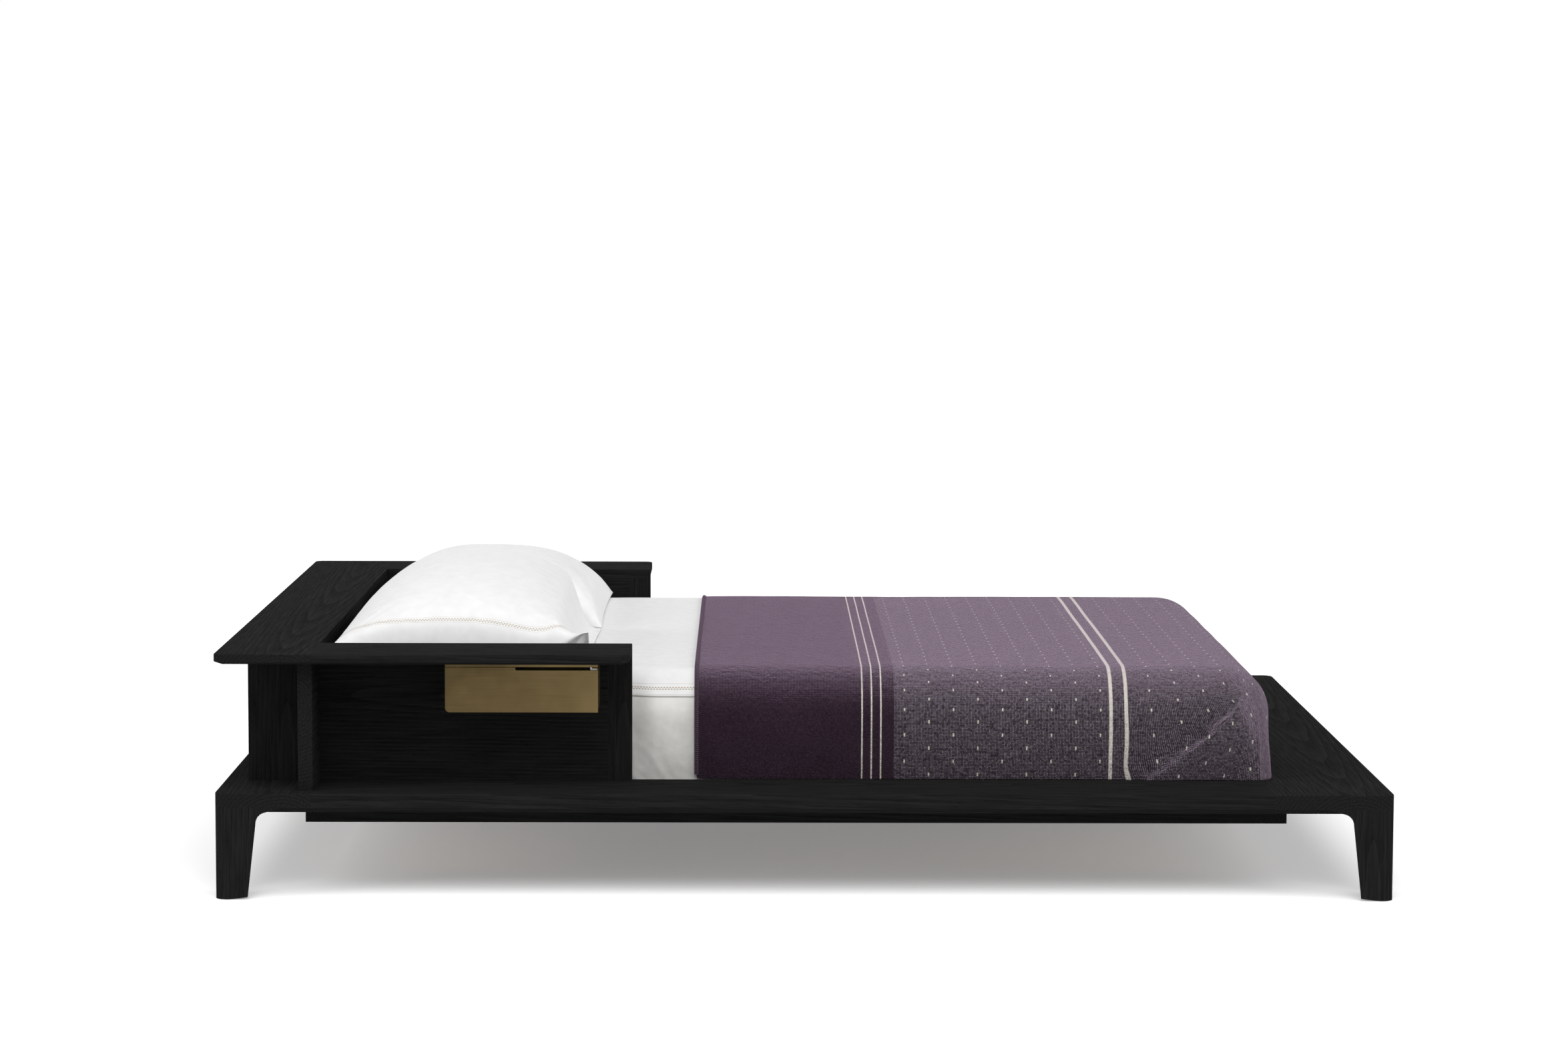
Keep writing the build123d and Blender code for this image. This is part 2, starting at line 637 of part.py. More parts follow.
# Drawer front: a brass plate with a finger notch along the foot half of its top edge
front_top_z = lip_z - FRONT_GAP
front_base_z = front_top_z - FRONT_HEIGHT
front_middle = ((drawer_head_x + drawer_foot_x) / 2, (front_top_z + front_base_z) / 2)
with BuildPart() as near_front:
    with BuildSketch(Plane.XZ.offset(-drawer_front_y)) as plate:
        with Locations(front_middle):
            Rectangle(DRAWER_WIDTH, FRONT_HEIGHT)
        with Locations((drawer_foot_x - NOTCH_LENGTH / 2, front_top_z - NOTCH_DEPTH / 2)):
            Rectangle(NOTCH_LENGTH, NOTCH_DEPTH, mode=Mode.SUBTRACT)
        notch_corner = (drawer_foot_x - NOTCH_LENGTH, front_top_z - NOTCH_DEPTH)
        fillet(plate.vertices().sort_by_distance(notch_corner)[0], NOTCH_RADIUS)
        head_corner = (drawer_head_x, front_base_z)
        fillet(plate.vertices().sort_by_distance(head_corner)[0], FRONT_CORNER_RADIUS)
    extrude(amount=-FRONT_SHEET)

# Drawer tray: one folded sheet, its sides turned in at the top to ride on the rails
tray_head_x = drawer_head_x + TRAY_HEAD_INSET
tray_base_z = front_base_z + TRAY_RISE
flange_top_z = front_top_z - FLANGE_DROP
tray_front_y = drawer_front_y + FRONT_SHEET
tray_back_y = -WALL_FACE_Y - TRAY_BACK_CLEARANCE
rail_foot_z = flange_top_z - TRAY_SHEET - RUN_CLEARANCE
rail_base_z = rail_foot_z - RAIL_THICKNESS
wall_top_z = rail_base_z - BACK_WALL_CLEARANCE
with BuildPart() as near_tray:
    with BuildSketch(Plane.XZ.offset(-tray_front_y)):
        with BuildLine() as folded:
            FilletPolyline(
                (tray_head_x + TRAY_FLANGE, flange_top_z),
                (tray_head_x, flange_top_z),
                (tray_head_x, tray_base_z),
                (drawer_foot_x, tray_base_z),
                (drawer_foot_x, flange_top_z),
                (drawer_foot_x - TRAY_FLANGE, flange_top_z),
                radius=TRAY_BEND_RADIUS,
            )
            offset(amount=TRAY_SHEET, side=Side.LEFT, kind=Kind.ARC)
        make_face()
    extrude(amount=tray_front_y - tray_back_y)
    for wall_y in (tray_front_y, tray_back_y - TRAY_SHEET):
        block(
            (tray_head_x + TRAY_SHEET / 2, wall_y, tray_base_z + TRAY_BEND_RADIUS),
            (drawer_foot_x - TRAY_SHEET / 2, wall_y + TRAY_SHEET, wall_top_z),
        )
        block(
            (tray_head_x + TRAY_BEND_RADIUS, wall_y, tray_base_z + TRAY_SHEET / 2),
            (drawer_foot_x - TRAY_BEND_RADIUS, wall_y + TRAY_SHEET, tray_base_z + TRAY_BEND_RADIUS),
        )

# Rails: angles hung from the mount plate, with a lug that stops the tray's back wall
rail_front_y = tray_front_y + TRAY_SHEET + RAIL_END_CLEARANCE
rail_back_y = -WALL_FACE_Y
lug_back_y = tray_back_y - TRAY_SHEET - DRAWER_TRAVEL - STOP_CLEARANCE
foot_start = TRAY_SHEET + RAIL_SIDE_CLEARANCE
web_start = TRAY_FLANGE + RAIL_SIDE_CLEARANCE
web_end = web_start + RAIL_THICKNESS
with BuildPart() as near_rails:
    for side_x, inward in ((tray_head_x, 1), (drawer_foot_x, -1)):
        with BuildSketch(Plane.XZ.offset(-rail_front_y)):
            with BuildLine():
                Polyline(
                    (side_x + inward * foot_start, rail_base_z),
                    (side_x + inward * web_end, rail_base_z),
                    (side_x + inward * web_end, mount_z),
                    (side_x + inward * web_start, mount_z),
                    (side_x + inward * web_start, rail_foot_z),
                    (side_x + inward * foot_start, rail_foot_z),
                    close=True,
                )
            make_face()
        extrude(amount=rail_front_y - rail_back_y)
        lug_x = sorted((side_x + inward * web_start, side_x + inward * web_end))
        block(
            (lug_x[0], lug_back_y - STOP_LUG_LENGTH, rail_base_z - STOP_LUG_HEIGHT),
            (lug_x[1], lug_back_y, rail_base_z),
        )

near_mount_screws = screws(mount_screws, mount_z, MOUNT_SHEET + DOWEL_IN_SHELF - SCREW_DEPTH)
for name, piece in (
    ("drawer_mount", near_mount.part),
    ("drawer_front", near_front.part),
    ("drawer_tray", near_tray.part),
    ("drawer_rails", near_rails.part),
    ("mount_screws", near_mount_screws),
):
    save(piece, f"{name}_near")
    with BuildPart() as mirrored:
        mirror(piece, about=Plane.XZ)
    save(mirrored.part, f"{name}_far")

# Mattress: a rounded block held between the side walls, swelling out over the platform past them
mattress_length = OPENING_LENGTH - 2 * MATTRESS_CLEARANCE
mattress_width = OPENING_WIDTH - 2 * MATTRESS_CLEARANCE
mattress_head_x = OPENING_HEAD_X + MATTRESS_CLEARANCE
mattress_top_z = SLAT_TOP_Z + MATTRESS_THICKNESS
swell_width = mattress_width + 2 * SIDE_SWELL
swell_head_x = ARM_END_X + SWELL_OFFSET
swell_foot_x = OPENING_FOOT_X - MATTRESS_CLEARANCE + FOOT_SWELL
swell_base_z = PLATFORM_HEIGHT + SOFT_CLEARANCE
swell_corner = MATTRESS_CORNER_RADIUS + SIDE_SWELL


def bedding_form(allowance):
    """The mattress above the platform, grown on its top and sides by an allowance."""
    low_x, high_x = mattress_head_x - allowance, swell_foot_x + allowance
    width = swell_width + 2 * allowance
    height = mattress_top_z + allowance - swell_base_z
    walled_x = swell_head_x - allowance
    with BuildPart() as form:
        with BuildSketch(Plane.XY.offset(swell_base_z)):
            with Locations(((low_x + high_x) / 2, 0)):
                RectangleRounded(high_x - low_x, width, swell_corner + allowance)
        extrude(amount=height)
        fillet(form.faces().sort_by(Axis.Z)[-1].edges(), MATTRESS_EDGE_RADIUS + SIDE_SWELL + allowance)
        fillet(form.faces().sort_by(Axis.Z)[0].edges(), MATTRESS_BASE_RADIUS)
        for side_y in (-width / 2, width / 2):
            with Locations((low_x, side_y, swell_base_z + height / 2)):
                Box(2 * (walled_x - low_x), 2 * SIDE_SWELL, 2 * height, mode=Mode.SUBTRACT)
    return form.part


with BuildPart() as mattress:
    with BuildSketch(Plane.XY.offset(SLAT_TOP_Z)):
        with Locations((OPENING_X, 0)):
            RectangleRounded(
                mattress_length - 2 * MATTRESS_BASE_TUCK,
                mattress_width - 2 * MATTRESS_BASE_TUCK,
                MATTRESS_CORNER_RADIUS,
            )
    extrude(amount=swell_base_z + 2 * MATTRESS_BASE_RADIUS - SLAT_TOP_Z)
    fillet(mattress.faces().sort_by(Axis.Z)[0].edges(), MATTRESS_BASE_RADIUS)
    add(bedding_form(0))
save(mattress.part, "mattress")

# Top sheet: a thin cover over the top, dropping a hand's breadth over the two sides
sheet_outer = SOFT_CLEARANCE + SHEET_THICKNESS
sheet_forms = (bedding_form(sheet_outer), bedding_form(SOFT_CLEARANCE))
with BuildPart() as top_sheet:
    add(sheet_forms[0])
    add(sheet_forms[1], mode=Mode.SUBTRACT)
    split(bisect_by=Plane.YZ.offset(OPENING_HEAD_X + SHEET_HEAD_OFFSET), keep=Keep.TOP)
    split(bisect_by=Plane.YZ.offset(OPENING_HEAD_X + SHEET_FOOT_OFFSET), keep=Keep.BOTTOM)
    split(bisect_by=Plane.XY.offset(mattress_top_z - SHEET_DROP), keep=Keep.TOP)
save(top_sheet.part, "top_sheet")

# Blanket: over the foot two thirds, down to the platform, with a folded corner on each side
blanket_inner = sheet_outer + SOFT_CLEARANCE
blanket_outer = blanket_inner + BLANKET_THICKNESS
blanket_base_z = swell_base_z + SOFT_CLEARANCE
blanket_side_y = swell_width / 2 + blanket_outer
fold_foot_x = swell_foot_x - swell_corner
blanket_forms = (bedding_form(blanket_outer), bedding_form(blanket_inner))
with BuildPart() as blanket:
    add(blanket_forms[0])
    add(blanket_forms[1], mode=Mode.SUBTRACT)
    split(bisect_by=Plane.YZ.offset(OPENING_HEAD_X + BLANKET_HEAD_OFFSET), keep=Keep.TOP)
    split(bisect_by=Plane.XY.offset(blanket_base_z), keep=Keep.TOP)
    for fold_plane in (Plane.XZ.offset(blanket_side_y), Plane.XZ.offset(-blanket_side_y - FOLD_THICKNESS)):
        with BuildSketch(fold_plane):
            with BuildLine():
                Polyline(
                    (fold_foot_x - FOLD_LENGTH, blanket_base_z),
                    (fold_foot_x, blanket_base_z),
                    (fold_foot_x, blanket_base_z + FOLD_HEIGHT),
                    close=True,
                )
            make_face()
        extrude(amount=FOLD_THICKNESS)
save(blanket.part, "blanket")

# Pillows: plump sacks with pointed corners and sides drawn in along the seam
pillow_base_z = mattress_top_z + sheet_outer + SOFT_CLEARANCE
pillow_x = OPENING_HEAD_X + PILLOW_HEAD_GAP + PILLOW_WIDTH / 2
pillow_length = OPENING_Y - PILLOW_SIDE_GAP - PILLOW_MIDDLE_GAP / 2
pillow_y = (PILLOW_MIDDLE_GAP + pillow_length) / 2


def pillow(centre_y):
    """A loft through outlines of four bowed sides, widest at the seam."""
    with BuildPart() as sack:
        for height, share, bow in PILLOW_LEVELS:
            half_x = share * PILLOW_WIDTH / 2
            half_y = share * pillow_length / 2
            end = half_y + bow * half_x
            side = half_x + bow * half_y
            with BuildSketch(Plane((pillow_x, centre_y, pillow_base_z + height * PILLOW_HEIGHT))):
                with BuildLine():
                    ThreePointArc((-half_x, -half_y), (0, -end), (half_x, -half_y))
                    ThreePointArc((half_x, -half_y), (side, 0), (half_x, half_y))
                    ThreePointArc((half_x, half_y), (0, end), (-half_x, half_y))
                    ThreePointArc((-half_x, half_y), (-side, 0), (-half_x, -half_y))
                make_face()
        loft()
        split(bisect_by=Plane.XY.offset(pillow_base_z), keep=Keep.TOP)
    return sack.part


save(pillow(-pillow_y), "pillow_near")
save(pillow(pillow_y), "pillow_far")
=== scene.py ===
from math import acos, atan2, copysign, cos, pi, radians, sin

import bmesh
import bpy
from mathutils import Euler, Matrix, Vector, noise


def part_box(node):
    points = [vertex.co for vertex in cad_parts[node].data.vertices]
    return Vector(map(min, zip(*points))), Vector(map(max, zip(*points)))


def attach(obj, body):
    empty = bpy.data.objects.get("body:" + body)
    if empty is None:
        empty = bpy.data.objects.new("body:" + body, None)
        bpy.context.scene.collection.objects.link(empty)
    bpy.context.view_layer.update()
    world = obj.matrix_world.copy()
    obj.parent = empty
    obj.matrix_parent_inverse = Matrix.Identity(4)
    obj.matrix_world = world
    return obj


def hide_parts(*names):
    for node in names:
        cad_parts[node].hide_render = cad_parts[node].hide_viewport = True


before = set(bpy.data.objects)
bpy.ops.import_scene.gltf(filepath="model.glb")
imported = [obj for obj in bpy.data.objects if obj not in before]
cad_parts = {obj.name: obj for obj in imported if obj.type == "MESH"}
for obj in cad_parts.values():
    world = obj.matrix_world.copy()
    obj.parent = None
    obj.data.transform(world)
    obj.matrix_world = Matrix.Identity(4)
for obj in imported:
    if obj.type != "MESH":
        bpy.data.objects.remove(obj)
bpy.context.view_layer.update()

# PLATFORM
# Two full-width end boards with a side rail between them on each side, in open-grained
# wood stained black and sealed with a matt oil. The grain runs along each board.
BLACK_STAIN = ((0.0045, 0.0045, 0.0045, 1), (0.0193, 0.019, 0.0187, 1))
RING_SPACING = 0.0075
RING_WANDER = 5.5
RING_STRETCH = (3.2, 1, 1)
GRAIN_TILT = radians(1.6)
PITH_DEPTH = 0.045
PITH_SHIFT = 0.18
STREAK_SIZE = (0.16, 0.0034, 0.0034)
PORE_SIZE = (0.035, 0.0011, 0.0011)
PORE_EDGE = (0.56, 0.7)
RING_SHADE, PORE_SHADE = 0.3, -0.25
ALONG_GRAIN = (Euler((0, 0, 0)), Euler((0, 0, pi / 2)), Euler((0, -pi / 2, 0)))


def new_material(name):
    material = bpy.data.materials.new(name)
    material.use_nodes = True
    return material, material.node_tree, material.node_tree.nodes["Principled BSDF"]


def add(tree, kind, sockets=(), **settings):
    """One shader node, with its settings, and a value or another node's output for each socket."""
    made = tree.nodes.new("ShaderNode" + kind)
    for key, value in settings.items():
        setattr(made, key, value)
    for key, value in dict(sockets).items():
        if isinstance(value, bpy.types.NodeSocket):
            tree.links.new(value, made.inputs[key])
        else:
            made.inputs[key].default_value = value
    return made


def sums(tree, operation, first, second=0.0, third=0.0):
    return add(tree, "Math", {0: first, 1: second, 2: third}, operation=operation).outputs[0]


def between(tree, value, low, high, out_low=0.0, out_high=1.0):
    """Spreads a value from one range to another, and stops at the ends."""
    sockets = {"Value": value, "From Min": low, "From Max": high, "To Min": out_low, "To Max": out_high}
    return add(tree, "MapRange", sockets).outputs["Result"]


def mottle(tree, place, scale, detail, **more):
    """Soft noise over the piece, from 0 to 1."""
    return add(tree, "TexNoise", {"Vector": place, "Scale": scale, "Detail": detail, **more}).outputs["Fac"]


def wave_scale(pitch):
    """The scale at which a wave texture repeats once in each pitch."""
    return 2 * pi / (20 * pitch)


def blend_colours(tree, factor, *colours):
    blend = add(tree, "ValToRGB", {"Fac": factor})
    stops = blend.color_ramp.elements
    while len(stops) < len(colours):
        stops.new(0.5)
    for i, colour in enumerate(colours):
        stops[i].position = i / (len(colours) - 1)
        stops[i].color = colour
    return blend.outputs["Color"]


def emboss(tree, principled, relief, strength, height):
    bump = add(tree, "Bump", {"Height": relief, "Strength": strength, "Distance": height})
    tree.links.new(bump.outputs["Normal"], principled.inputs["Normal"])


def shader(principled, **values):
    """Sets the shader's own sockets, given in lower case with underscores."""
    for key, value in values.items():
        title = key.replace("_", " ").title().replace("Ior", "IOR")
        principled.inputs[title].default_value = value


def grained_wood(node, tones, roughness, specular, pore_depth):
    """Growth rings around a pith that runs beside the board, streaks along them and open pores."""
    low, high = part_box(node)
    size = high - low
    grain = max(range(3), key=lambda axis: size[axis])
    across = [axis for axis in range(3) if axis != grain]
    thin, wide = sorted(across, key=lambda axis: size[axis])
    pith = (low + high) / 2
    pith[thin] = low[thin] - PITH_DEPTH
    pith[wide] += size[wide] * PITH_SHIFT
    tilt = Matrix.Rotation(GRAIN_TILT, 3, Vector([axis == wide for axis in range(3)]))
    turn = (tilt @ ALONG_GRAIN[grain].to_matrix()).to_euler()
    material, tree, principled = new_material(f"{node}_wood")
    place = add(tree, "TexCoord").outputs["Object"]

    def laid(scale):
        sockets = {"Vector": place, "Location": pith, "Rotation": turn, "Scale": scale}
        return add(tree, "Mapping", sockets, vector_type="TEXTURE").outputs["Vector"]

    ring_sockets = {
        "Vector": laid(RING_STRETCH),
        "Scale": wave_scale(RING_SPACING),
        "Distortion": RING_WANDER,
        "Detail": 3.0,
        "Detail Scale": 0.14,
        "Detail Roughness": 0.6,
    }
    rings = add(
        tree, "TexWave", ring_sockets, wave_type="RINGS", rings_direction="X", wave_profile="SAW"
    ).outputs["Fac"]
    streaks = mottle(tree, laid(STREAK_SIZE), scale=1.0, detail=3.0)
    pores = between(tree, mottle(tree, laid(PORE_SIZE), scale=1.0, detail=2.0), *PORE_EDGE)
    tone = sums(tree, "MULTIPLY_ADD", rings, RING_SHADE, between(tree, streaks, 0.3, 0.76, 0.1, 0.6))
    tone = sums(tree, "MULTIPLY_ADD", pores, PORE_SHADE, tone)
    tree.links.new(blend_colours(tree, tone, *tones), principled.inputs["Base Color"])
    gloss = between(tree, tone, 0.0, 1.0, roughness + 0.12, roughness - 0.1)
    tree.links.new(gloss, principled.inputs["Roughness"])
    shader(principled, specular_ior_level=specular)
    relief = sums(tree, "MULTIPLY_ADD", rings, 0.25, sums(tree, "MULTIPLY", pores, -1.0))
    emboss(tree, principled, relief, strength=0.35, height=pore_depth)
    return material


def dress(node, material):
    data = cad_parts[node].data
    data.materials.clear()
    data.materials.append(material)


def dress_black(*nodes):
    for node in nodes:
        dress(node, grained_wood(node, BLACK_STAIN, roughness=0.75, specular=0.004, pore_depth=0.0004))


dress_black("head_board", "foot_board", "side_rail_near", "side_rail_far")

# LEGS
# Four tapered posts of the same black wood. Each neck flares into the bevel under the boards,
# and two hanger bolts hold it there.
dress_black("leg_head_near", "leg_head_far", "leg_foot_near", "leg_foot_far")

# FIXINGS UNDER THE PLATFORM
# Flat plates screwed across the four board joints, and the leg bolts, in zinc-plated steel with
# the cloudy patches of the plating bath. The bearer bolts, whose heads show, are blackened.
ZINC = (0.56, 0.57, 0.58, 1)
BLACKENED = (0.012, 0.012, 0.012, 1)
PATCH_SHADE = 0.72


def plated_steel(name, colour, roughness):
    material, tree, principled = new_material(name)
    place = add(tree, "TexCoord").outputs["Object"]
    cloud = mottle(tree, place, scale=140.0, detail=4.0)
    darker = [PATCH_SHADE * c for c in colour[:3]] + [1]
    patched = blend_colours(tree, between(tree, cloud, 0.3, 0.7), darker, colour)
    tree.links.new(patched, principled.inputs["Base Color"])
    gloss = between(tree, cloud, 0.3, 0.7, roughness + 0.1, roughness - 0.06)
    tree.links.new(gloss, principled.inputs["Roughness"])
    emboss(tree, principled, cloud, strength=0.08, height=0.0002)
    shader(principled, metallic=1.0)
    return material


zinc = plated_steel("zinc_plate", ZINC, roughness=0.34)
for fixing in ("leg_bolts", "joint_plates", "joint_plate_screws"):
    dress(fixing, zinc)
dress("bearer_bolts", plated_steel("blackened_steel", BLACKENED, roughness=0.6))

# SUB-FRAME
# Ledgers, cross rails, a centre beam and two bearers hang inside the platform in the same
# black wood. Twelve plain sawn slats lie across them, and carry the mattress.
SLAT_WOOD = ((0.33, 0.2, 0.1, 1), (0.56, 0.39, 0.23, 1))
SLAT_NODES = sorted(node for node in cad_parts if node.startswith("slat_"))

dress_black(
    "ledger_near", "ledger_far", "cross_rail_head", "cross_rail_foot",
    "centre_beam", "bearer_near", "bearer_far",
)
for slat in SLAT_NODES:
    dress(slat, grained_wood(slat, SLAT_WOOD, roughness=0.6, specular=0.4, pore_depth=0.0003))

# HEAD UNIT
# A headboard panel, two side walls with upright end stiles and two back fins stand on the
# platform on hidden beech dowels, and carry a shelf across the head and one along each side.
BEECH = ((0.42, 0.27, 0.15, 1), (0.6, 0.42, 0.26, 1))

dress_black(
    "headboard_panel", "side_wall_near", "side_wall_far", "end_stile_near", "end_stile_far",
    "back_fin_near", "back_fin_far", "head_shelf", "arm_shelf_near", "arm_shelf_far",
)
dowel_wood = grained_wood("panel_dowels", BEECH, roughness=0.6, specular=0.4, pore_depth=0.0002)
dress("panel_dowels", dowel_wood)

# DRAWERS
# Under each arm shelf a folded brass tray with a brass front runs on two steel rails.
# The brass is brushed along its length, and its colour is painted darker towards the head and lighter
# towards the foot, a painted reflection.
BRASS_TONES = ((0.06, 0.042, 0.019, 1), (0.138, 0.1, 0.046, 1))
BRUSH_SIZE = (0.09, 0.0009, 0.0009)
PAINTED_REFLECTION_SLOPE = 0.3
RAIL_STEEL = (0.4, 0.4, 0.41, 1)


def brushed_brass():
    material, tree, principled = new_material("brushed_brass")
    place = add(tree, "TexCoord").outputs["Object"]
    brushed = add(tree, "Mapping", {"Vector": place, "Scale": BRUSH_SIZE}, vector_type="TEXTURE")
    lines = mottle(tree, brushed.outputs["Vector"], scale=1.0, detail=3.0)
    cloud = mottle(tree, place, scale=9.0, detail=3.0)
    tone = sums(tree, "MULTIPLY_ADD", lines, 0.5, between(tree, cloud, 0.3, 0.7, 0.0, 0.5))
    # Painted reflection: the tone slopes from darker at the front's head end to lighter at its foot end.
    low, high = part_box("drawer_front_near")
    down_bed = add(tree, "SeparateXYZ", {"Vector": place}).outputs["X"]
    tone = sums(tree, "ADD", tone, between(tree, down_bed, low.x, high.x, -PAINTED_REFLECTION_SLOPE, PAINTED_REFLECTION_SLOPE))
    tree.links.new(blend_colours(tree, tone, *BRASS_TONES), principled.inputs["Base Color"])
    tree.links.new(between(tree, tone, 0.2, 0.8, 0.44, 0.32), principled.inputs["Roughness"])
    emboss(tree, principled, lines, strength=0.12, height=0.0002)
    shader(principled, metallic=1.0)
    return material


brass = brushed_brass()
rail_steel = plated_steel("rail_steel", RAIL_STEEL, roughness=0.38)
for side in ("near", "far"):
    for brass_piece in ("drawer_mount", "drawer_front", "drawer_tray", "mount_screws"):
        dress(f"{brass_piece}_{side}", brass)
    dress(f"drawer_rails_{side}", rail_steel)

# MATTRESS
# A firm mattress on the slats, in a fitted cotton sheet. It is squeezed between the side walls,
# swells a little over the platform beyond them, and is creased where the sheet is tucked.
COTTON = ((0.61, 0.595, 0.57, 1), (0.69, 0.68, 0.66, 1))
COTTON_THREAD = 0.0012
MATTRESS_CORNER = 0.107
MATTRESS_EDGE = 0.097
CORNER_SEGMENTS, RIM_SEGMENTS = 10, 12
SIDE_SWELL = 0.012
SWELL_RUN = 0.05
TUCK_HEIGHT = 0.145
TUCK_DEPTH = 0.012
CORNER_EASE = 0.6
CORNER_FLARE = 0.028
CROWN_DROP = 0.003
CROWN_START = 0.36
CELL = 0.022
PLAIN_CELL, HIDDEN_CELL = 4 * CELL, 8 * CELL
CREASE_CELL = 0.007
CREASE_MARGIN = 0.03
CREASE_HEIGHT = 0.0026
CREASE_SLANT, CREASE_STRETCH = 0.7, 0.6
CREASES = ((0.034, 0.7, (0, 0, 0)), (0.018, 0.4, (3, 1, 2)))
CREST_SLOPE, CREST_SHARPNESS = 2.6, 1.5
COVER_SINK = 0.0008
PRESS_LOW, PRESS_MORE = 0.008, 0.014
PRESS_RISE = 0.04
PRESS_RUN = (0.05, 0.2)
OPENING_ROOM = 0.001
SAME_PLACE = 1e-5

mattress_low, mattress_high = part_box("mattress")
stile_foot_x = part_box("end_stile_near")[1].x
blanket_head_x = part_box("blanket")[0].x
platform_top_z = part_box("side_rail_near")[1].z
opening_side_y = -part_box("side_rail_near")[1].y
opening_foot_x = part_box("foot_board")[0].x


def clamp(value):
    return max(0.0, min(1.0, value))


def ramp(value, start, stop):
    """Eases from 0 at start to 1 at stop."""
    share = clamp((value - start) / (stop - start))
    return share * share * (3 - 2 * share)


def round_off(mesh, edges, radius, segments):
    bmesh.ops.bevel(
        mesh, geom=edges, offset=radius, offset_type="OFFSET", segments=segments, profile=0.5,
        affect="EDGES", material=-1,
    )


def rounded_block(low, high, corner, edge):
    """A block with rounded upright corners and a rounded rim around its top."""
    mesh = bmesh.new()
    middle, size = (low + high) / 2, high - low
    bmesh.ops.create_cube(mesh, size=1, matrix=Matrix.Translation(middle) @ Matrix.Diagonal((*size, 1)))
    upright = [e for e in mesh.edges if abs(e.verts[0].co.z - e.verts[1].co.z) > size.z / 2]
    round_off(mesh, upright, corner, CORNER_SEGMENTS)
    rim = [e for e in mesh.edges if min(v.co.z for v in e.verts) > high.z - SAME_PLACE]
    round_off(mesh, rim, edge, RIM_SEGMENTS)
    return mesh


def steps(start, stop, pitch):
    """Even places between two ends, about a pitch apart."""
    count = max(1, round((stop - start) / pitch))
    return [start + (stop - start) * i / count for i in range(1, count)]


def cut_by(mesh, place, normal, faces=None, **settings):
    """Cuts the mesh, or only some of its faces, along a plane."""
    if faces is None:
        geometry = mesh.verts[:] + mesh.edges[:] + mesh.faces[:]
    else:
        geometry = [*{v for f in faces for v in f.verts}, *{e for f in faces for e in f.edges}, *faces]
    bmesh.ops.bisect_plane(
        mesh, geom=geometry, dist=SAME_PLACE, plane_co=place, plane_no=normal, **settings
    )


def cut_across(mesh, axis, places):
    """Cuts the mesh by a row of planes, so that it has cells small enough to shape."""
    normal = Vector([i == axis for i in range(3)])
    for place in places:
        cut_by(mesh, normal * place, normal)


def crown(y):
    """How far the top has sunk towards the sides."""
    return CROWN_DROP * clamp((abs(y) - CROWN_START) / (mattress_high.y - CROWN_START)) ** 2


def tuck(z):
    """0 where the sides start to draw in, and 1 at the platform."""
    return clamp((platform_top_z + TUCK_HEIGHT - z) / TUCK_HEIGHT)


def swell(mesh):
    """Crowns the block, draws it in between the walls and at the platform, and flares its low corners."""
    mesh.normal_update()
    for vertex in mesh.verts:
        flat = Vector((vertex.normal.x, vertex.normal.y, 0))
        depth = tuck(vertex.co.z)
        at_corner = 2 * abs(flat.x * flat.y)
        tucked = TUCK_DEPTH * (1 - CORNER_EASE * at_corner) * depth ** 2
        vertex.co -= flat * (tucked - CORNER_FLARE * at_corner ** 2 * depth)
        squeezed = 1 - ramp(vertex.co.x, stile_foot_x, stile_foot_x + SWELL_RUN)
        on_rim = clamp((abs(vertex.co.y) - mattress_high.y) / MATTRESS_EDGE + 1)
        vertex.co.y -= copysign(SIDE_SWELL * squeezed * on_rim * (1 - depth ** 2), vertex.co.y)
        vertex.co.z -= crown(vertex.co.y) * ramp(vertex.co.z, platform_top_z, mattress_high.z)
    mesh.normal_update()


def show_piece(data, name, material):
    data.materials.clear()
    data.materials.append(material)
    for face in data.polygons:
        face.use_smooth = True
    piece = bpy.data.objects.new(name, data)
    bpy.context.scene.collection.objects.link(piece)
    return piece


def finish_piece(mesh, name, material):
    data = bpy.data.meshes.new(name)
    mesh.to_mesh(data)
    mesh.free()
    return show_piece(data, name, material)


def ridge(point, pitch):
    """Sharp-topped creases that wander: 1 on a crest and near 0 between crests."""
    return max(0.0, 1 - CREST_SLOPE * abs(noise.noise(point / pitch))) ** CREST_SHARPNESS


def threads(tree, place, pitch, axes):
    """A wave for each way that the threads of a cloth run."""
    sockets = {"Vector": place, "Scale": wave_scale(pitch)}
    return [
        add(tree, "TexWave", sockets, bands_direction=axis, wave_profile="SIN").outputs["Fac"]
        for axis in axes
    ]


def woven_cotton(name, tones):
    material, tree, principled = new_material(name)
    place = add(tree, "TexCoord").outputs["Object"]
    weave = threads(tree, place, COTTON_THREAD, "XYZ")
    cloth = sums(tree, "ADD", sums(tree, "ADD", weave[0], weave[1]), weave[2])
    slub = mottle(tree, place, scale=55.0, detail=5.0)
    tone = between(tree, slub, 0.25, 0.75)
    tree.links.new(blend_colours(tree, tone, *tones), principled.inputs["Base Color"])
    emboss(tree, principled, sums(tree, "MULTIPLY_ADD", slub, 3.0, cloth), strength=0.12, height=0.0004)
    shader(principled, roughness=0.85, specular_ior_level=0.2, sheen_weight=0.1)
    return material


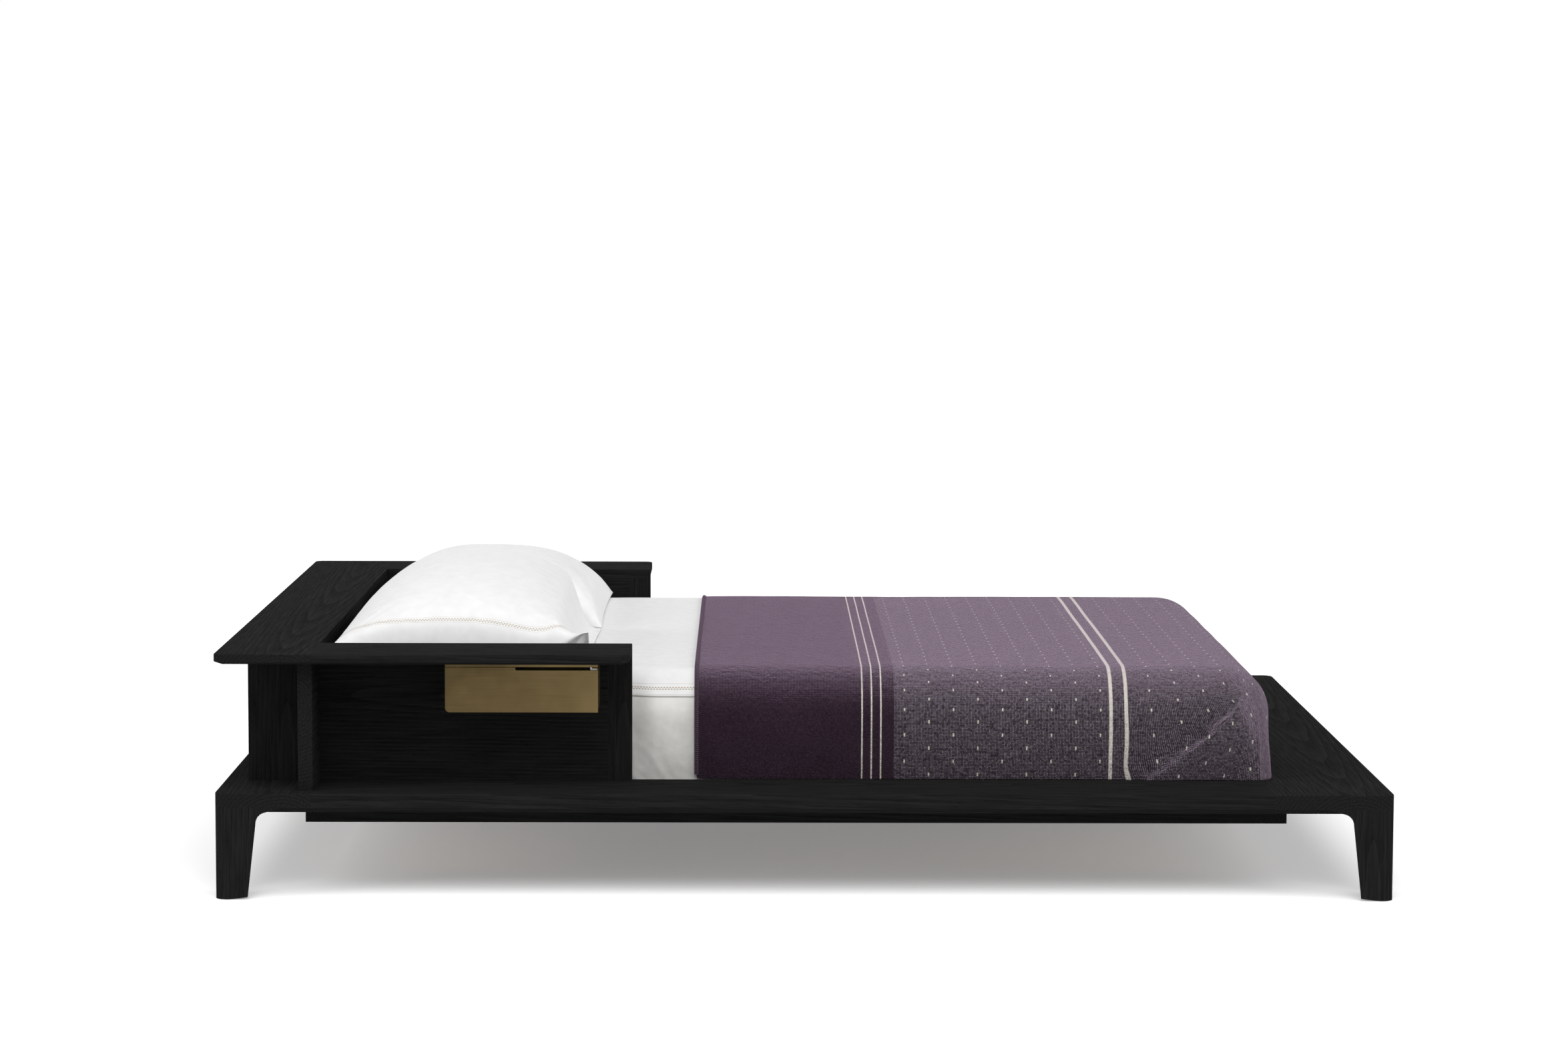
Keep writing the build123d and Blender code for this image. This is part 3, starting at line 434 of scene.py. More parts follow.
crease_head_x, crease_foot_x = stile_foot_x - CREASE_MARGIN, blanket_head_x + CREASE_MARGIN
mattress_mesh = rounded_block(mattress_low, mattress_high, MATTRESS_CORNER, MATTRESS_EDGE)
cut_across(mattress_mesh, 0, steps(mattress_low.x, crease_head_x, PLAIN_CELL))
cut_across(mattress_mesh, 0, steps(crease_head_x, crease_foot_x, CREASE_CELL))
cut_across(mattress_mesh, 0, steps(crease_foot_x, mattress_high.x, PLAIN_CELL))
cut_across(mattress_mesh, 1, steps(mattress_low.y, mattress_high.y, PLAIN_CELL))
cut_across(mattress_mesh, 2, steps(mattress_low.z, mattress_high.z - MATTRESS_EDGE, CREASE_CELL))
swell(mattress_mesh)
for vertex in mattress_mesh.verts:
    x, y, z = vertex.co
    pull = clamp((mattress_high.z - z) / (mattress_high.z - platform_top_z)) ** 2
    slanted = Vector((x + CREASE_SLANT * z, y, CREASE_STRETCH * z))
    crease = sum(ridge(slanted + Vector(shift), pitch) * height for pitch, height, shift in CREASES)
    pressed = PRESS_LOW + PRESS_MORE * ramp(z, platform_top_z, platform_top_z + PRESS_RISE)
    pressed *= ramp(x, blanket_head_x + PRESS_RUN[0], blanket_head_x + PRESS_RUN[1])
    vertex.co += vertex.normal * (CREASE_HEIGHT * crease * pull - COVER_SINK - pressed)
    if vertex.co.z < platform_top_z:
        vertex.co.x = min(vertex.co.x, opening_foot_x - OPENING_ROOM)
        vertex.co.y = max(-opening_side_y + OPENING_ROOM, min(opening_side_y - OPENING_ROOM, vertex.co.y))
mattress = finish_piece(mattress_mesh, "fitted_mattress", woven_cotton("fitted_sheet_cotton", COTTON))
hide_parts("mattress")
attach(mattress, "bed_frame")

# TOP SHEET
# A flat white linen sheet over the mattress. Its side hems hang about 50 mm down, and are sewn
# with two rows of drawn-thread hemstitch between two lines of running stitch.
LINEN = ((0.665, 0.665, 0.664, 1), (0.725, 0.725, 0.724, 1))
LINEN_THREAD = 0.0011
# Painted shadow for the drawn-thread holes, and the thread colour of the running stitches.
STITCH_AND_HOLE_SHADOW = (0.34, 0.27, 0.18, 1)
STITCH_PITCH, STITCH_STRETCH = 0.0042, 0.4
HOLE_PITCH, HOLE_STRETCH = 0.0062, 0.8
DOT_EDGE = (0.16, 0.05)
SHEET_HOLES = (0.017, 0.0215)
SHEET_STITCHES = (0.004, 0.031)
SHEET_THICKNESS = 0.0011
SHEET_GAP = 0.0023
SHEET_MARGIN = 0.02
SHEET_RIPPLE, SHEET_SINK = 0.0008, 0.0004


def hemstitched_linen(name, hole_rows, stitch_rows):
    """Linen whose UV map gives metres along the hem and metres in from its edge."""
    material, tree, principled = new_material(name)
    coordinates = add(tree, "TexCoord")
    flat, place = coordinates.outputs["UV"], coordinates.outputs["Object"]
    split = add(tree, "SeparateXYZ", {"Vector": flat})
    along, inward = split.outputs["X"], split.outputs["Y"]

    def dots(row, pitch, shift, stretch):
        step = sums(tree, "ADD", sums(tree, "DIVIDE", along, pitch), shift)
        step = sums(tree, "SUBTRACT", sums(tree, "FRACT", step), 0.5)
        rise = sums(tree, "DIVIDE", sums(tree, "SUBTRACT", inward, row), pitch * stretch)
        reach = sums(tree, "ADD", sums(tree, "MULTIPLY", step, step), sums(tree, "MULTIPLY", rise, rise))
        return between(tree, reach, *DOT_EDGE)

    # The hole rows are dark dots of painted shadow for the drawn-thread openings; the running-stitch rows
    # take the same colour as thread.
    rows = [(row, HOLE_PITCH, 0.5 * i, HOLE_STRETCH) for i, row in enumerate(hole_rows)]
    rows += [(row, STITCH_PITCH, 0.0, STITCH_STRETCH) for row in stitch_rows]
    stitches_and_hole_shadows = 0.0
    for row in rows:
        stitches_and_hole_shadows = sums(tree, "MAXIMUM", dots(*row), stitches_and_hole_shadows)
    weave = sums(tree, "ADD", *threads(tree, flat, LINEN_THREAD, "XY"))
    slub = mottle(tree, place, scale=40.0, detail=6.0)
    plain = blend_colours(tree, between(tree, slub, 0.25, 0.75), *LINEN)
    sewn_and_shaded = add(tree, "MixRGB", {"Fac": stitches_and_hole_shadows, "Color1": plain, "Color2": STITCH_AND_HOLE_SHADOW})
    tree.links.new(sewn_and_shaded.outputs["Color"], principled.inputs["Base Color"])
    relief = sums(tree, "MULTIPLY_ADD", slub, 2.0, weave)
    relief = sums(tree, "MULTIPLY_ADD", stitches_and_hole_shadows, -6.0, relief)
    emboss(tree, principled, relief, strength=0.15, height=0.0005)
    shader(principled, roughness=0.8, specular_ior_level=0.25, sheen_weight=0.12)
    return material


def map_cloth(mesh, flat_place):
    """Lays the piece's UV map out flat, in metres."""
    layer = mesh.loops.layers.uv.new("flat")
    for face in mesh.faces:
        for loop in face.loops:
            loop[layer].uv = flat_place(loop.vert.co)


def ripple(point, coarse, fine, shift):
    """The gentle unevenness of cloth that lies over padding."""
    return noise.noise(point * coarse) * 0.6 + noise.noise(point * fine + Vector(shift)) * 0.4


def thicken(cloth, thickness):
    body = cloth.modifiers.new("thickness", "SOLIDIFY")
    body.thickness, body.offset = thickness, -1


sheet_low, sheet_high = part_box("top_sheet")
sheet_edge = MATTRESS_EDGE + SHEET_GAP
sheet_flat_top = mattress_high.y + SHEET_GAP - sheet_edge
sheet_hang = sheet_edge * acos(1 - (sheet_high.z - sheet_low.z) / sheet_edge)


def sheet_flat_place(point):
    """Metres along the bed, and metres in from the hanging hem."""
    bent = abs(point.y) - sheet_flat_top
    if bent < 0:
        return point.x, sheet_hang - bent
    fallen = max(-1, min(1, 1 - (sheet_high.z - point.z) / sheet_edge))
    return point.x, sheet_hang - sheet_edge * acos(fallen)


grown = Vector((0, SHEET_GAP, 0))
sheet_skin_high = Vector((mattress_high.x, mattress_high.y + SHEET_GAP, sheet_high.z))
sheet_mesh = rounded_block(mattress_low - grown, sheet_skin_high, MATTRESS_CORNER, sheet_edge)
for place, normal in (
    (sheet_low, Vector((-1, 0, 0))),
    (sheet_high, Vector((1, 0, 0))),
    (sheet_low, Vector((0, 0, -1))),
):
    cut_by(sheet_mesh, place, normal, clear_outer=True)
covered_x = blanket_head_x + SHEET_MARGIN
swell_start_x, swell_stop_x = stile_foot_x - SHEET_MARGIN, stile_foot_x + SWELL_RUN + SHEET_MARGIN
cut_across(sheet_mesh, 0, steps(sheet_low.x, covered_x, CELL))
cut_across(sheet_mesh, 0, steps(swell_start_x, swell_stop_x, CREASE_CELL))
cut_across(sheet_mesh, 0, steps(covered_x, sheet_high.x, HIDDEN_CELL))
cut_across(sheet_mesh, 1, steps(sheet_low.y, sheet_high.y, CELL))
map_cloth(sheet_mesh, sheet_flat_place)
swell(sheet_mesh)
for vertex in sheet_mesh.verts:
    soft = ripple(vertex.co, coarse=7, fine=17, shift=(5, 5, 5))
    vertex.co += vertex.normal * (SHEET_RIPPLE * soft - SHEET_SINK)
sheet_material = hemstitched_linen("sheet_linen", SHEET_HOLES, SHEET_STITCHES)
sheet = finish_piece(sheet_mesh, "linen_top_sheet", sheet_material)
thicken(sheet, SHEET_THICKNESS)
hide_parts("top_sheet")
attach(sheet, "bed_frame")

# BLANKET
# A fulled wool blanket over the foot of the bed, plum at its head end and a pale-flecked
# heather with small woven ticks to the foot. The foot end is folded over the sides at the corners.
PLUM = (0.011, 0.0052, 0.01, 1)
PLUM_NAP = (0.042, 0.022, 0.039, 1)
HEATHER_NAP = (0.022, 0.0135, 0.0215, 1)
FLECK = (0.36, 0.315, 0.365, 1)
CREAM = (0.72, 0.68, 0.61, 1)
HEATHER_START = 0.42
HEATHER_BLUR, BAND_BLUR = 0.001, 0.0005
THIN_STRIPES = (0.352, 0.372, 0.392)
BOLD_STRIPES = (0.88, 0.912)
STRIPE_WIDTHS = (0.003, 0.0075)
TICK_STEP = (0.052, 0.058)
TICK_SIZE = (0.003, 0.0075)
WOOL_PITCH = 0.0032
BLANKET_GAP = 0.0071
BLANKET_THICKNESS = 0.0042
BLANKET_RIPPLE, BLANKET_SINK = 0.0016, 0.001
HEAD_OVERRUN = 0.5
BASE_TRIM, BASE_ROW = 0.0002, 0.003

# The fold is a slanting line on each flank, from the platform up to the rim. The cloth past it is
# lifted over a rolled edge, and the cloth before it is pressed in and runs on underneath.
FOLD_BASE_X, FOLD_TOP_X, FOLD_TOP_Z = 0.723, 0.95, 0.425
FOLD_RINGS = (0.0, 0.004, 0.009, 0.018)
FOLD_REACH, SLIT_REACH = 0.09, 0.06
SLIT_TOP_GAP = 0.015
ON_LINE = 1e-4
FLANK_START, FLANK_FULL = 0.1, 0.03
FADE_START = 0.7
FOLD_LIFT, LIFT_LEAST, LIFT_RUN = 0.0125, 0.35, (0.01, 0.14)
ROLL_LEAST, ROLL_RUN = 0.3, (-0.003, 0.007)
FOLD_RECESS, RECESS_LEAST, RECESS_RUN = 0.022, 0.08, (-0.01, 0.085)
RECESS_RISE = 0.35
FOLD_UNDER, UNDER_RUN = 0.03, 0.04
FOLD_BOW, BOW_REACH = 0.022, 0.14
BASE_BAND = 0.001
OPENING_DIP, DIP_START, DIP_STOP = 0.006, 0.006, 0.001

blanket_low, blanket_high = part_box("blanket")
blanket_low.y, blanket_high.y = mattress_low.y - BLANKET_GAP, mattress_high.y + BLANKET_GAP
blanket_edge = MATTRESS_EDGE + BLANKET_GAP
blanket_corner = MATTRESS_CORNER + BLANKET_GAP


def wool_cloth():
    """UV gives metres from the head edge and metres across: plum, cream stripes, heather with ticks."""
    material, tree, principled = new_material("plum_wool")
    coordinates = add(tree, "TexCoord")
    flat, place = coordinates.outputs["UV"], coordinates.outputs["Object"]
    split = add(tree, "SeparateXYZ", {"Vector": flat})
    down, across = split.outputs["X"], split.outputs["Y"]

    def band(value, middle, width):
        off = sums(tree, "ABSOLUTE", sums(tree, "SUBTRACT", value, middle))
        return between(tree, off, width / 2 + BAND_BLUR, width / 2 - BAND_BLUR)

    def repeated(value, step, shift=0.0):
        turns = sums(tree, "FRACT", sums(tree, "ADD", sums(tree, "DIVIDE", value, step), shift))
        return sums(tree, "MULTIPLY", turns, step)

    def mixed(share, under, over):
        return add(tree, "MixRGB", {"Fac": share, "Color1": under, "Color2": over}).outputs["Color"]

    fuzz = mottle(tree, place, scale=210.0, detail=6.0, Roughness=0.75)
    cloud = mottle(tree, place, scale=11.0, detail=4.0)
    fuzzy = between(tree, fuzz, 0.34, 0.68, 0.0, 0.8)
    nap = sums(tree, "MULTIPLY_ADD", between(tree, cloud, 0.3, 0.7), 0.2, fuzzy)
    plum = blend_colours(tree, nap, PLUM, PLUM_NAP)
    weave = threads(tree, flat, WOOL_PITCH, "XY")
    grid = between(tree, sums(tree, "ADD", *weave), 0.85, 1.75)
    broken = mottle(tree, place, scale=190.0, detail=3.0, Roughness=0.6)
    grid = sums(tree, "MULTIPLY", grid, between(tree, broken, 0.34, 0.64, 0.1, 1.0))
    heather = between(tree, down, HEATHER_START - HEATHER_BLUR, HEATHER_START + HEATHER_BLUR)
    ground = mixed(heather, plum, blend_colours(tree, nap, PLUM, HEATHER_NAP))
    ground = mixed(sums(tree, "MULTIPLY", grid, heather), ground, FLECK)
    row = sums(tree, "FLOOR", sums(tree, "DIVIDE", down, TICK_STEP[0]))
    half_drop = sums(tree, "MULTIPLY", row, 0.5)
    tick = sums(
        tree, "MULTIPLY",
        band(repeated(down, TICK_STEP[0]), TICK_STEP[0] / 2, TICK_SIZE[0]),
        band(repeated(across, TICK_STEP[1], half_drop), TICK_STEP[1] / 2, TICK_SIZE[1]),
    )
    cream = sums(tree, "MULTIPLY", tick, heather)
    for middles, width in zip((THIN_STRIPES, BOLD_STRIPES), STRIPE_WIDTHS):
        for middle in middles:
            cream = sums(tree, "MAXIMUM", cream, band(down, middle, width))
    cream = sums(tree, "MULTIPLY", cream, between(tree, fuzz, 0.2, 0.55, 0.55, 1.0))
    tree.links.new(mixed(cream, ground, CREAM), principled.inputs["Base Color"])
    relief = sums(tree, "MULTIPLY_ADD", sums(tree, "MAXIMUM", *weave), 0.5, fuzz)
    lumps = mottle(tree, place, scale=75.0, detail=3.0, Roughness=0.6)
    relief = sums(tree, "MULTIPLY_ADD", lumps, 2.6, relief)
    emboss(tree, principled, relief, strength=1.0, height=0.0032)
    shader(
        principled, roughness=0.95, specular_ior_level=0.1, sheen_weight=0.74, sheen_roughness=0.27,
        sheen_tint=(0.68, 0.5, 0.68, 1),
    )
    return material


def blanket_flat_place(point):
    """Metres from the head edge and across, with the drops laid out flat."""
    fall = max(0.0, blanket_high.z - point.z)
    foot_gap = blanket_high.x - point.x
    side_gap = min(point.y - blanket_low.y, blanket_high.y - point.y)
    if foot_gap < blanket_edge and foot_gap < side_gap:
        return point.x - blanket_low.x + fall, point.y
    if side_gap < blanket_edge:
        return point.x - blanket_low.x, point.y + (fall if point.y > 0 else -fall)
    return point.x - blanket_low.x, point.y


fold_foot_x = blanket_high.x - blanket_corner
fold_rise = Vector((FOLD_TOP_X - FOLD_BASE_X, 0, FOLD_TOP_Z - blanket_low.z))
fold_normal = Vector((fold_rise.z, 0, -fold_rise.x)).normalized()
fold_base = Vector((FOLD_BASE_X, 0, blanket_low.z))


def past_fold(point):
    """How far a point lies past the fold's line, towards the foot."""
    return (point - fold_base).dot(fold_normal)


def in_slit(point, side):
    """On the fold's line, on that flank, and below the fold's top."""
    on_flank = side * point.y > blanket_high.y - SLIT_REACH
    return abs(past_fold(point)) < ON_LINE and on_flank and point.z < FOLD_TOP_Z - SLIT_TOP_GAP


def at_least(least, share):
    return least + (1 - least) * share


def lifted(past):
    """The cloth that lies on top: highest beside its rolled edge."""
    rolled = at_least(ROLL_LEAST, ramp(past, *ROLL_RUN))
    return FOLD_LIFT * rolled * at_least(LIFT_LEAST, 1 - ramp(past, *LIFT_RUN))


def pressed_in(past, share):
    """The cloth below the fold: pressed in most beside it, and hardly at the platform."""
    beneath = (1 - ramp(-past, *RECESS_RUN)) ** 2
    return -FOLD_RECESS * beneath * at_least(RECESS_LEAST, ramp(share, 0.0, RECESS_RISE))


skin_low = Vector((blanket_low.x - HEAD_OVERRUN, blanket_low.y, blanket_low.z))
blanket_mesh = rounded_block(skin_low, blanket_high, blanket_corner, blanket_edge)
cut_by(blanket_mesh, blanket_low, Vector((-1, 0, 0)), clear_outer=True)
cut_by(blanket_mesh, blanket_low + Vector((0, 0, BASE_TRIM)), Vector((0, 0, -1)), clear_outer=True)
cut_across(blanket_mesh, 0, steps(blanket_low.x, fold_foot_x, CELL))
cut_across(blanket_mesh, 1, steps(blanket_low.y, blanket_high.y, CELL))
cut_across(blanket_mesh, 2, [blanket_low.z + BASE_ROW])
cut_across(blanket_mesh, 2, steps(blanket_low.z, blanket_high.z - blanket_edge, CELL))
map_cloth(blanket_mesh, blanket_flat_place)
for side in (-1, 1):
    for ring in FOLD_RINGS:
        flank = [
            f for f in blanket_mesh.faces
            if side * f.calc_center_median().y > blanket_high.y - FOLD_REACH
        ]
        cut_by(blanket_mesh, fold_base + fold_normal * ring, fold_normal, flank)
    slit = [e for e in blanket_mesh.edges if all(in_slit(v.co, side) for v in e.verts)]
    bmesh.ops.split_edges(blanket_mesh, edges=slit)

swell(blanket_mesh)
for vertex in blanket_mesh.verts:
    faces = vertex.link_faces
    middle = sum((f.calc_center_median() for f in faces), Vector()) / len(faces)
    past = past_fold(vertex.co)
    share = (vertex.co - fold_base).dot(fold_rise) / fold_rise.length_squared
    on_flank = ramp(abs(vertex.co.y), blanket_high.y - FLANK_START, blanket_high.y - FLANK_FULL)
    on_flank *= 1 - ramp(share, FADE_START, 1.0)
    if past_fold(middle) > 0:
        raised, under = lifted(past), 0.0
    else:
        raised = pressed_in(past, share)
        under = FOLD_UNDER * (1 - ramp(-past, 0.0, UNDER_RUN)) * on_flank
    soft = ripple(vertex.co, coarse=5, fine=13, shift=(2, 7, 1))
    vertex.co += vertex.normal * (raised * on_flank + BLANKET_RIPPLE * soft - BLANKET_SINK)
    beside = max(0.0, 1 - (past / BOW_REACH) ** 2) ** 2
    vertex.co.x += FOLD_BOW * 4 * max(0.0, share * (1 - share)) * beside * on_flank
    vertex.co.x += under
    if vertex.co.z < blanket_low.z + BASE_BAND:
        over_opening = 1 - ramp(abs(vertex.co.y), opening_side_y - DIP_START, opening_side_y - DIP_STOP)
        dip = OPENING_DIP * over_opening * (vertex.co.x < fold_foot_x)
        vertex.co.z = platform_top_z + BASE_TRIM - dip
blanket = finish_piece(blanket_mesh, "wool_blanket", wool_cloth())
thicken(blanket, BLANKET_THICKNESS)
fuller = blanket.modifiers.new("fuller", "SUBSURF")
fuller.levels = fuller.render_levels = 1

# The head edge is turned over a cord of yarn and whipped with a plum thread.
WHIP_TONES = (PLUM_NAP, (0.08, 0.05, 0.075, 1))
HEM_RADIUS = 0.0045
HEM_SET_IN, HEM_SINK = 0.001, 0.0035
HEM_STEP_UP, HEM_STEP_ACROSS = 0.01, 0.015
RIM_STEPS = 12
WHIP_PITCH = 0.0045
WHIP_THREAD = 0.0009
WHIP_POINTS = 8


def across_bed(x, lift):
    """Points up one side, over the rounded rim, across the top and down the other side."""
    half = blanket_high.y - lift
    top = blanket_high.z - lift
    bend = blanket_edge - lift
    points = []
    for z in steps(blanket_low.z, top - bend, HEM_STEP_UP):
        points.append(Vector((x, -half + TUCK_DEPTH * tuck(z) ** 2, z)))
    for i in range(RIM_STEPS + 1):
        angle = pi / 2 * i / RIM_STEPS
        points.append(Vector((x, -half + bend * (1 - cos(angle)), top - bend + bend * sin(angle))))
    flat = half - bend
    mirrored = [Vector((p.x, -p.y, p.z)) for p in reversed(points)]
    line = points + [Vector((x, y, top)) for y in steps(-flat, flat, HEM_STEP_ACROSS)] + mirrored
    for point in line:
        point.z -= crown(point.y) * ramp(point.z, platform_top_z, mattress_high.z)
    return line


def yarn(name, points, radius, material):
    """A round thread along the points, as a mesh."""
    curve = bpy.data.curves.new(name, "CURVE")
    curve.dimensions = "3D"
    curve.bevel_depth, curve.bevel_resolution, curve.use_fill_caps = radius, 2, True
    spline = curve.splines.new("POLY")
    spline.points.add(len(points) - 1)
    for made, point in zip(spline.points, points):
        made.co = (*point, 1)
    source = bpy.data.objects.new(name + "_line", curve)
    bpy.context.scene.collection.objects.link(source)
    bpy.context.view_layer.update()
    data = bpy.data.meshes.new_from_object(source.evaluated_get(bpy.context.evaluated_depsgraph_get()))
    bpy.data.objects.remove(source)
    bpy.data.curves.remove(curve)
    data.name = name
    return show_piece(data, name, material)


def spun_yarn(name, tones):
    material, tree, principled = new_material(name)
    place = add(tree, "TexCoord").outputs["Object"]
    fuzz = mottle(tree, place, scale=600.0, detail=5.0)
    fuzzy = blend_colours(tree, between(tree, fuzz, 0.3, 0.7), *tones)
    tree.links.new(fuzzy, principled.inputs["Base Color"])
    emboss(tree, principled, fuzz, strength=0.4, height=0.0006)
    shader(
        principled, roughness=0.95, specular_ior_level=0.1, sheen_weight=0.5,
        sheen_tint=(0.62, 0.5, 0.62, 1),
    )
    return material


def whipping(line):
    """A thread wound round the line at an even pitch."""
    turns = []
    travelled = 0.0
    for start, stop in zip(line, line[1:]):
        run = stop - start
        forward = run.normalized()
        out = Vector((1, 0, 0)).cross(forward)
        count = max(2, round(run.length / WHIP_PITCH * WHIP_POINTS))
        for i in range(count):
            angle = 2 * pi * (travelled + run.length * i / count) / WHIP_PITCH
            ring = Vector((1, 0, 0)) * cos(angle) + out * sin(angle)
            turns.append(start + run * i / count + ring * HEM_RADIUS)
        travelled += run.length
    return turns


hem_line = across_bed(blanket_low.x + HEM_SET_IN, HEM_SINK)
hem = yarn("blanket_hem", hem_line, HEM_RADIUS, spun_yarn("hem_wool", (PLUM, PLUM_NAP)))
whip_wool = spun_yarn("whip_thread", WHIP_TONES)
whip = yarn("blanket_whipping", whipping(hem_line), WHIP_THREAD, whip_wool)
for trim in (hem, whip):
    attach(trim, "bed_frame")
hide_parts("blanket")
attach(blanket, "bed_frame")

# PILLOWS
# Two feather pillows in linen cases, with their hemstitched ends to the bed's sides. They are pushed
# together, so each rises towards the middle of the bed, and the near one is shaken up the higher.
CASE_CELLS = (72, 96)
HEM_DEPTH = 0.064
CASE_HOLES = (HEM_DEPTH + 0.006, HEM_DEPTH + 0.011)
CASE_STITCHES = (0.004, HEM_DEPTH, HEM_DEPTH + 0.018)
CASE_RISE = 1.5
SEAM_SHARE = 0.25
SEAM_DROP = 0.95
SEAM_HALF = 0.0008
INNER_DROP, INNER_START = 0.5, 0.2
UNDER_FULLNESS = 0.4
CREST = (-0.15, -0.6)
DOME_HEAD, DOME_FOOT = (2.1, 0.85), (2.8, 0.52)
DOME_OUTER, DOME_INNER = (2.3, 0.38), (2.4, 0.48)
FLANGE = {"near": (0.04, 0.26), "far": (-0.15, 0.1)}
EAR_RISE = {"near": 0.03, "far": 0.0}
EAR_START = 0.5
SHAKEN_UP = {"near": 0.027, "far": -0.008}
DRAW_IN = 0.02
GATHER_HEIGHT = 0.0022
GATHER_PITCH = 0.021
GATHER_REACH = 0.07
SEAM_FLAT = 0.015
FAN_SHARE, FAN_FOLDS, FAN_REACH = 2.4, 9, 0.2
DENT_HEIGHT, DENT_SCALE = 0.004, 5
GATHER_SEED, DENT_SEED = 0.5, 3.7


def dome(place, crest, before, beyond):
    """Falls from 1 at the crest to 0 at -1 and at 1, in a curve of its own on each side."""
    power, fall = beyond if place > crest else before
    share = (place - crest) / (1 - crest) if place > crest else (crest - place) / (1 + crest)
    return max(0.0, 1 - share ** power) ** fall


def filled_case(low, high, outward, flange, ear_rise):
    """Two layers sewn round the edge. The UV map runs in from the hemmed end, on the outward side."""
    mesh = bmesh.new()
    bmesh.ops.create_grid(mesh, x_segments=CASE_CELLS[0], y_segments=CASE_CELLS[1], size=1)
    half = (high - low) / 2

    def filling(s, u):
        rounded = dome(s, CREST[0], DOME_HEAD, DOME_FOOT) * dome(u, CREST[1], DOME_INNER, DOME_OUTER)
        return rounded * ramp(1 - s, *flange)

    def laid_flat(point):
        rise = filling(point.x, point.y) * CASE_RISE * half.z
        return point.x * half.x, (1 - point.y) * half.y + rise

    def seam_height(s, u):
        at_ear = ramp(s, EAR_START, 1.0) * ramp(u, EAR_START, 1.0) * (ear_rise > 0)
        lowered = 1 - SEAM_DROP * ramp(s, 0.0, 1.0) * (1 - at_ear)
        lowered *= 1 - INNER_DROP * ramp(-u, INNER_START, 1.0)
        return low.z + SEAM_SHARE * lowered * (high.z - low.z) + ear_rise * at_ear

    def wrinkle(s, u, point):
        """Gathers along the seam, and folds that fan out of the corners."""
        inset = Vector(((1 - abs(s)) * half.x, (1 - abs(u)) * half.y))
        along = point.x if inset.y < inset.x else point.y
        gather = noise.noise(Vector((along / GATHER_PITCH, outward, GATHER_SEED)))
        gather *= max(0.0, 1 - min(inset) / GATHER_REACH)
        fan = noise.noise(Vector((FAN_FOLDS * atan2(inset.y, inset.x), outward, s + 2 * u)))
        at_corner = max(0.0, 1 - inset.length / FAN_REACH)
        return GATHER_HEIGHT * (gather + FAN_SHARE * fan * at_corner) * min(1.0, min(inset) / SEAM_FLAT)

    map_cloth(mesh, laid_flat)
    raised = bmesh.ops.extrude_face_region(mesh, geom=mesh.faces[:])["geom"]
    upper = {v for v in raised if isinstance(v, bmesh.types.BMVert)}
    for vertex in mesh.verts:
        s, u = vertex.co.x, vertex.co.y
        puff = filling(s, u)
        seam_z = seam_height(s, u)
        if vertex in upper:
            z = seam_z + SEAM_HALF + puff * (high.z - seam_z)
        else:
            z = seam_z - SEAM_HALF - puff ** UNDER_FULLNESS * (seam_z - low.z)
        x = s * (1 - DRAW_IN * (1 - u * u)) * half.x
        y = u * (1 - DRAW_IN * (1 - s * s)) * half.y
        vertex.co = ((low.x + high.x) / 2 + x, (low.y + high.y) / 2 + outward * y, max(low.z, z))
        if vertex in upper:
            dent = noise.noise(Vector((DENT_SCALE * vertex.co.x, DENT_SCALE * vertex.co.y, DENT_SEED)))
            vertex.co.z += wrinkle(s, u, vertex.co) + DENT_HEIGHT * puff * (dent - 0.5)
    bmesh.ops.recalc_face_normals(mesh, faces=mesh.faces)
    return mesh


# The hemstitch holes on the case ends carry the same painted shadow as those on the sheet.
pillow_linen = hemstitched_linen("pillow_linen", CASE_HOLES, CASE_STITCHES)
for side, outward in (("near", -1), ("far", 1)):
    pillow_low, pillow_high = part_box(f"pillow_{side}")
    pillow_high.z += SHAKEN_UP[side]
    pillow_mesh = filled_case(pillow_low, pillow_high, outward, FLANGE[side], EAR_RISE[side])
    pillow = finish_piece(pillow_mesh, f"pillow_case_{side}", pillow_linen)
    soft = pillow.modifiers.new("soft", "SUBSURF")
    soft.levels = soft.render_levels = 1
    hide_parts(f"pillow_{side}")
    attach(pillow, "bed_frame")

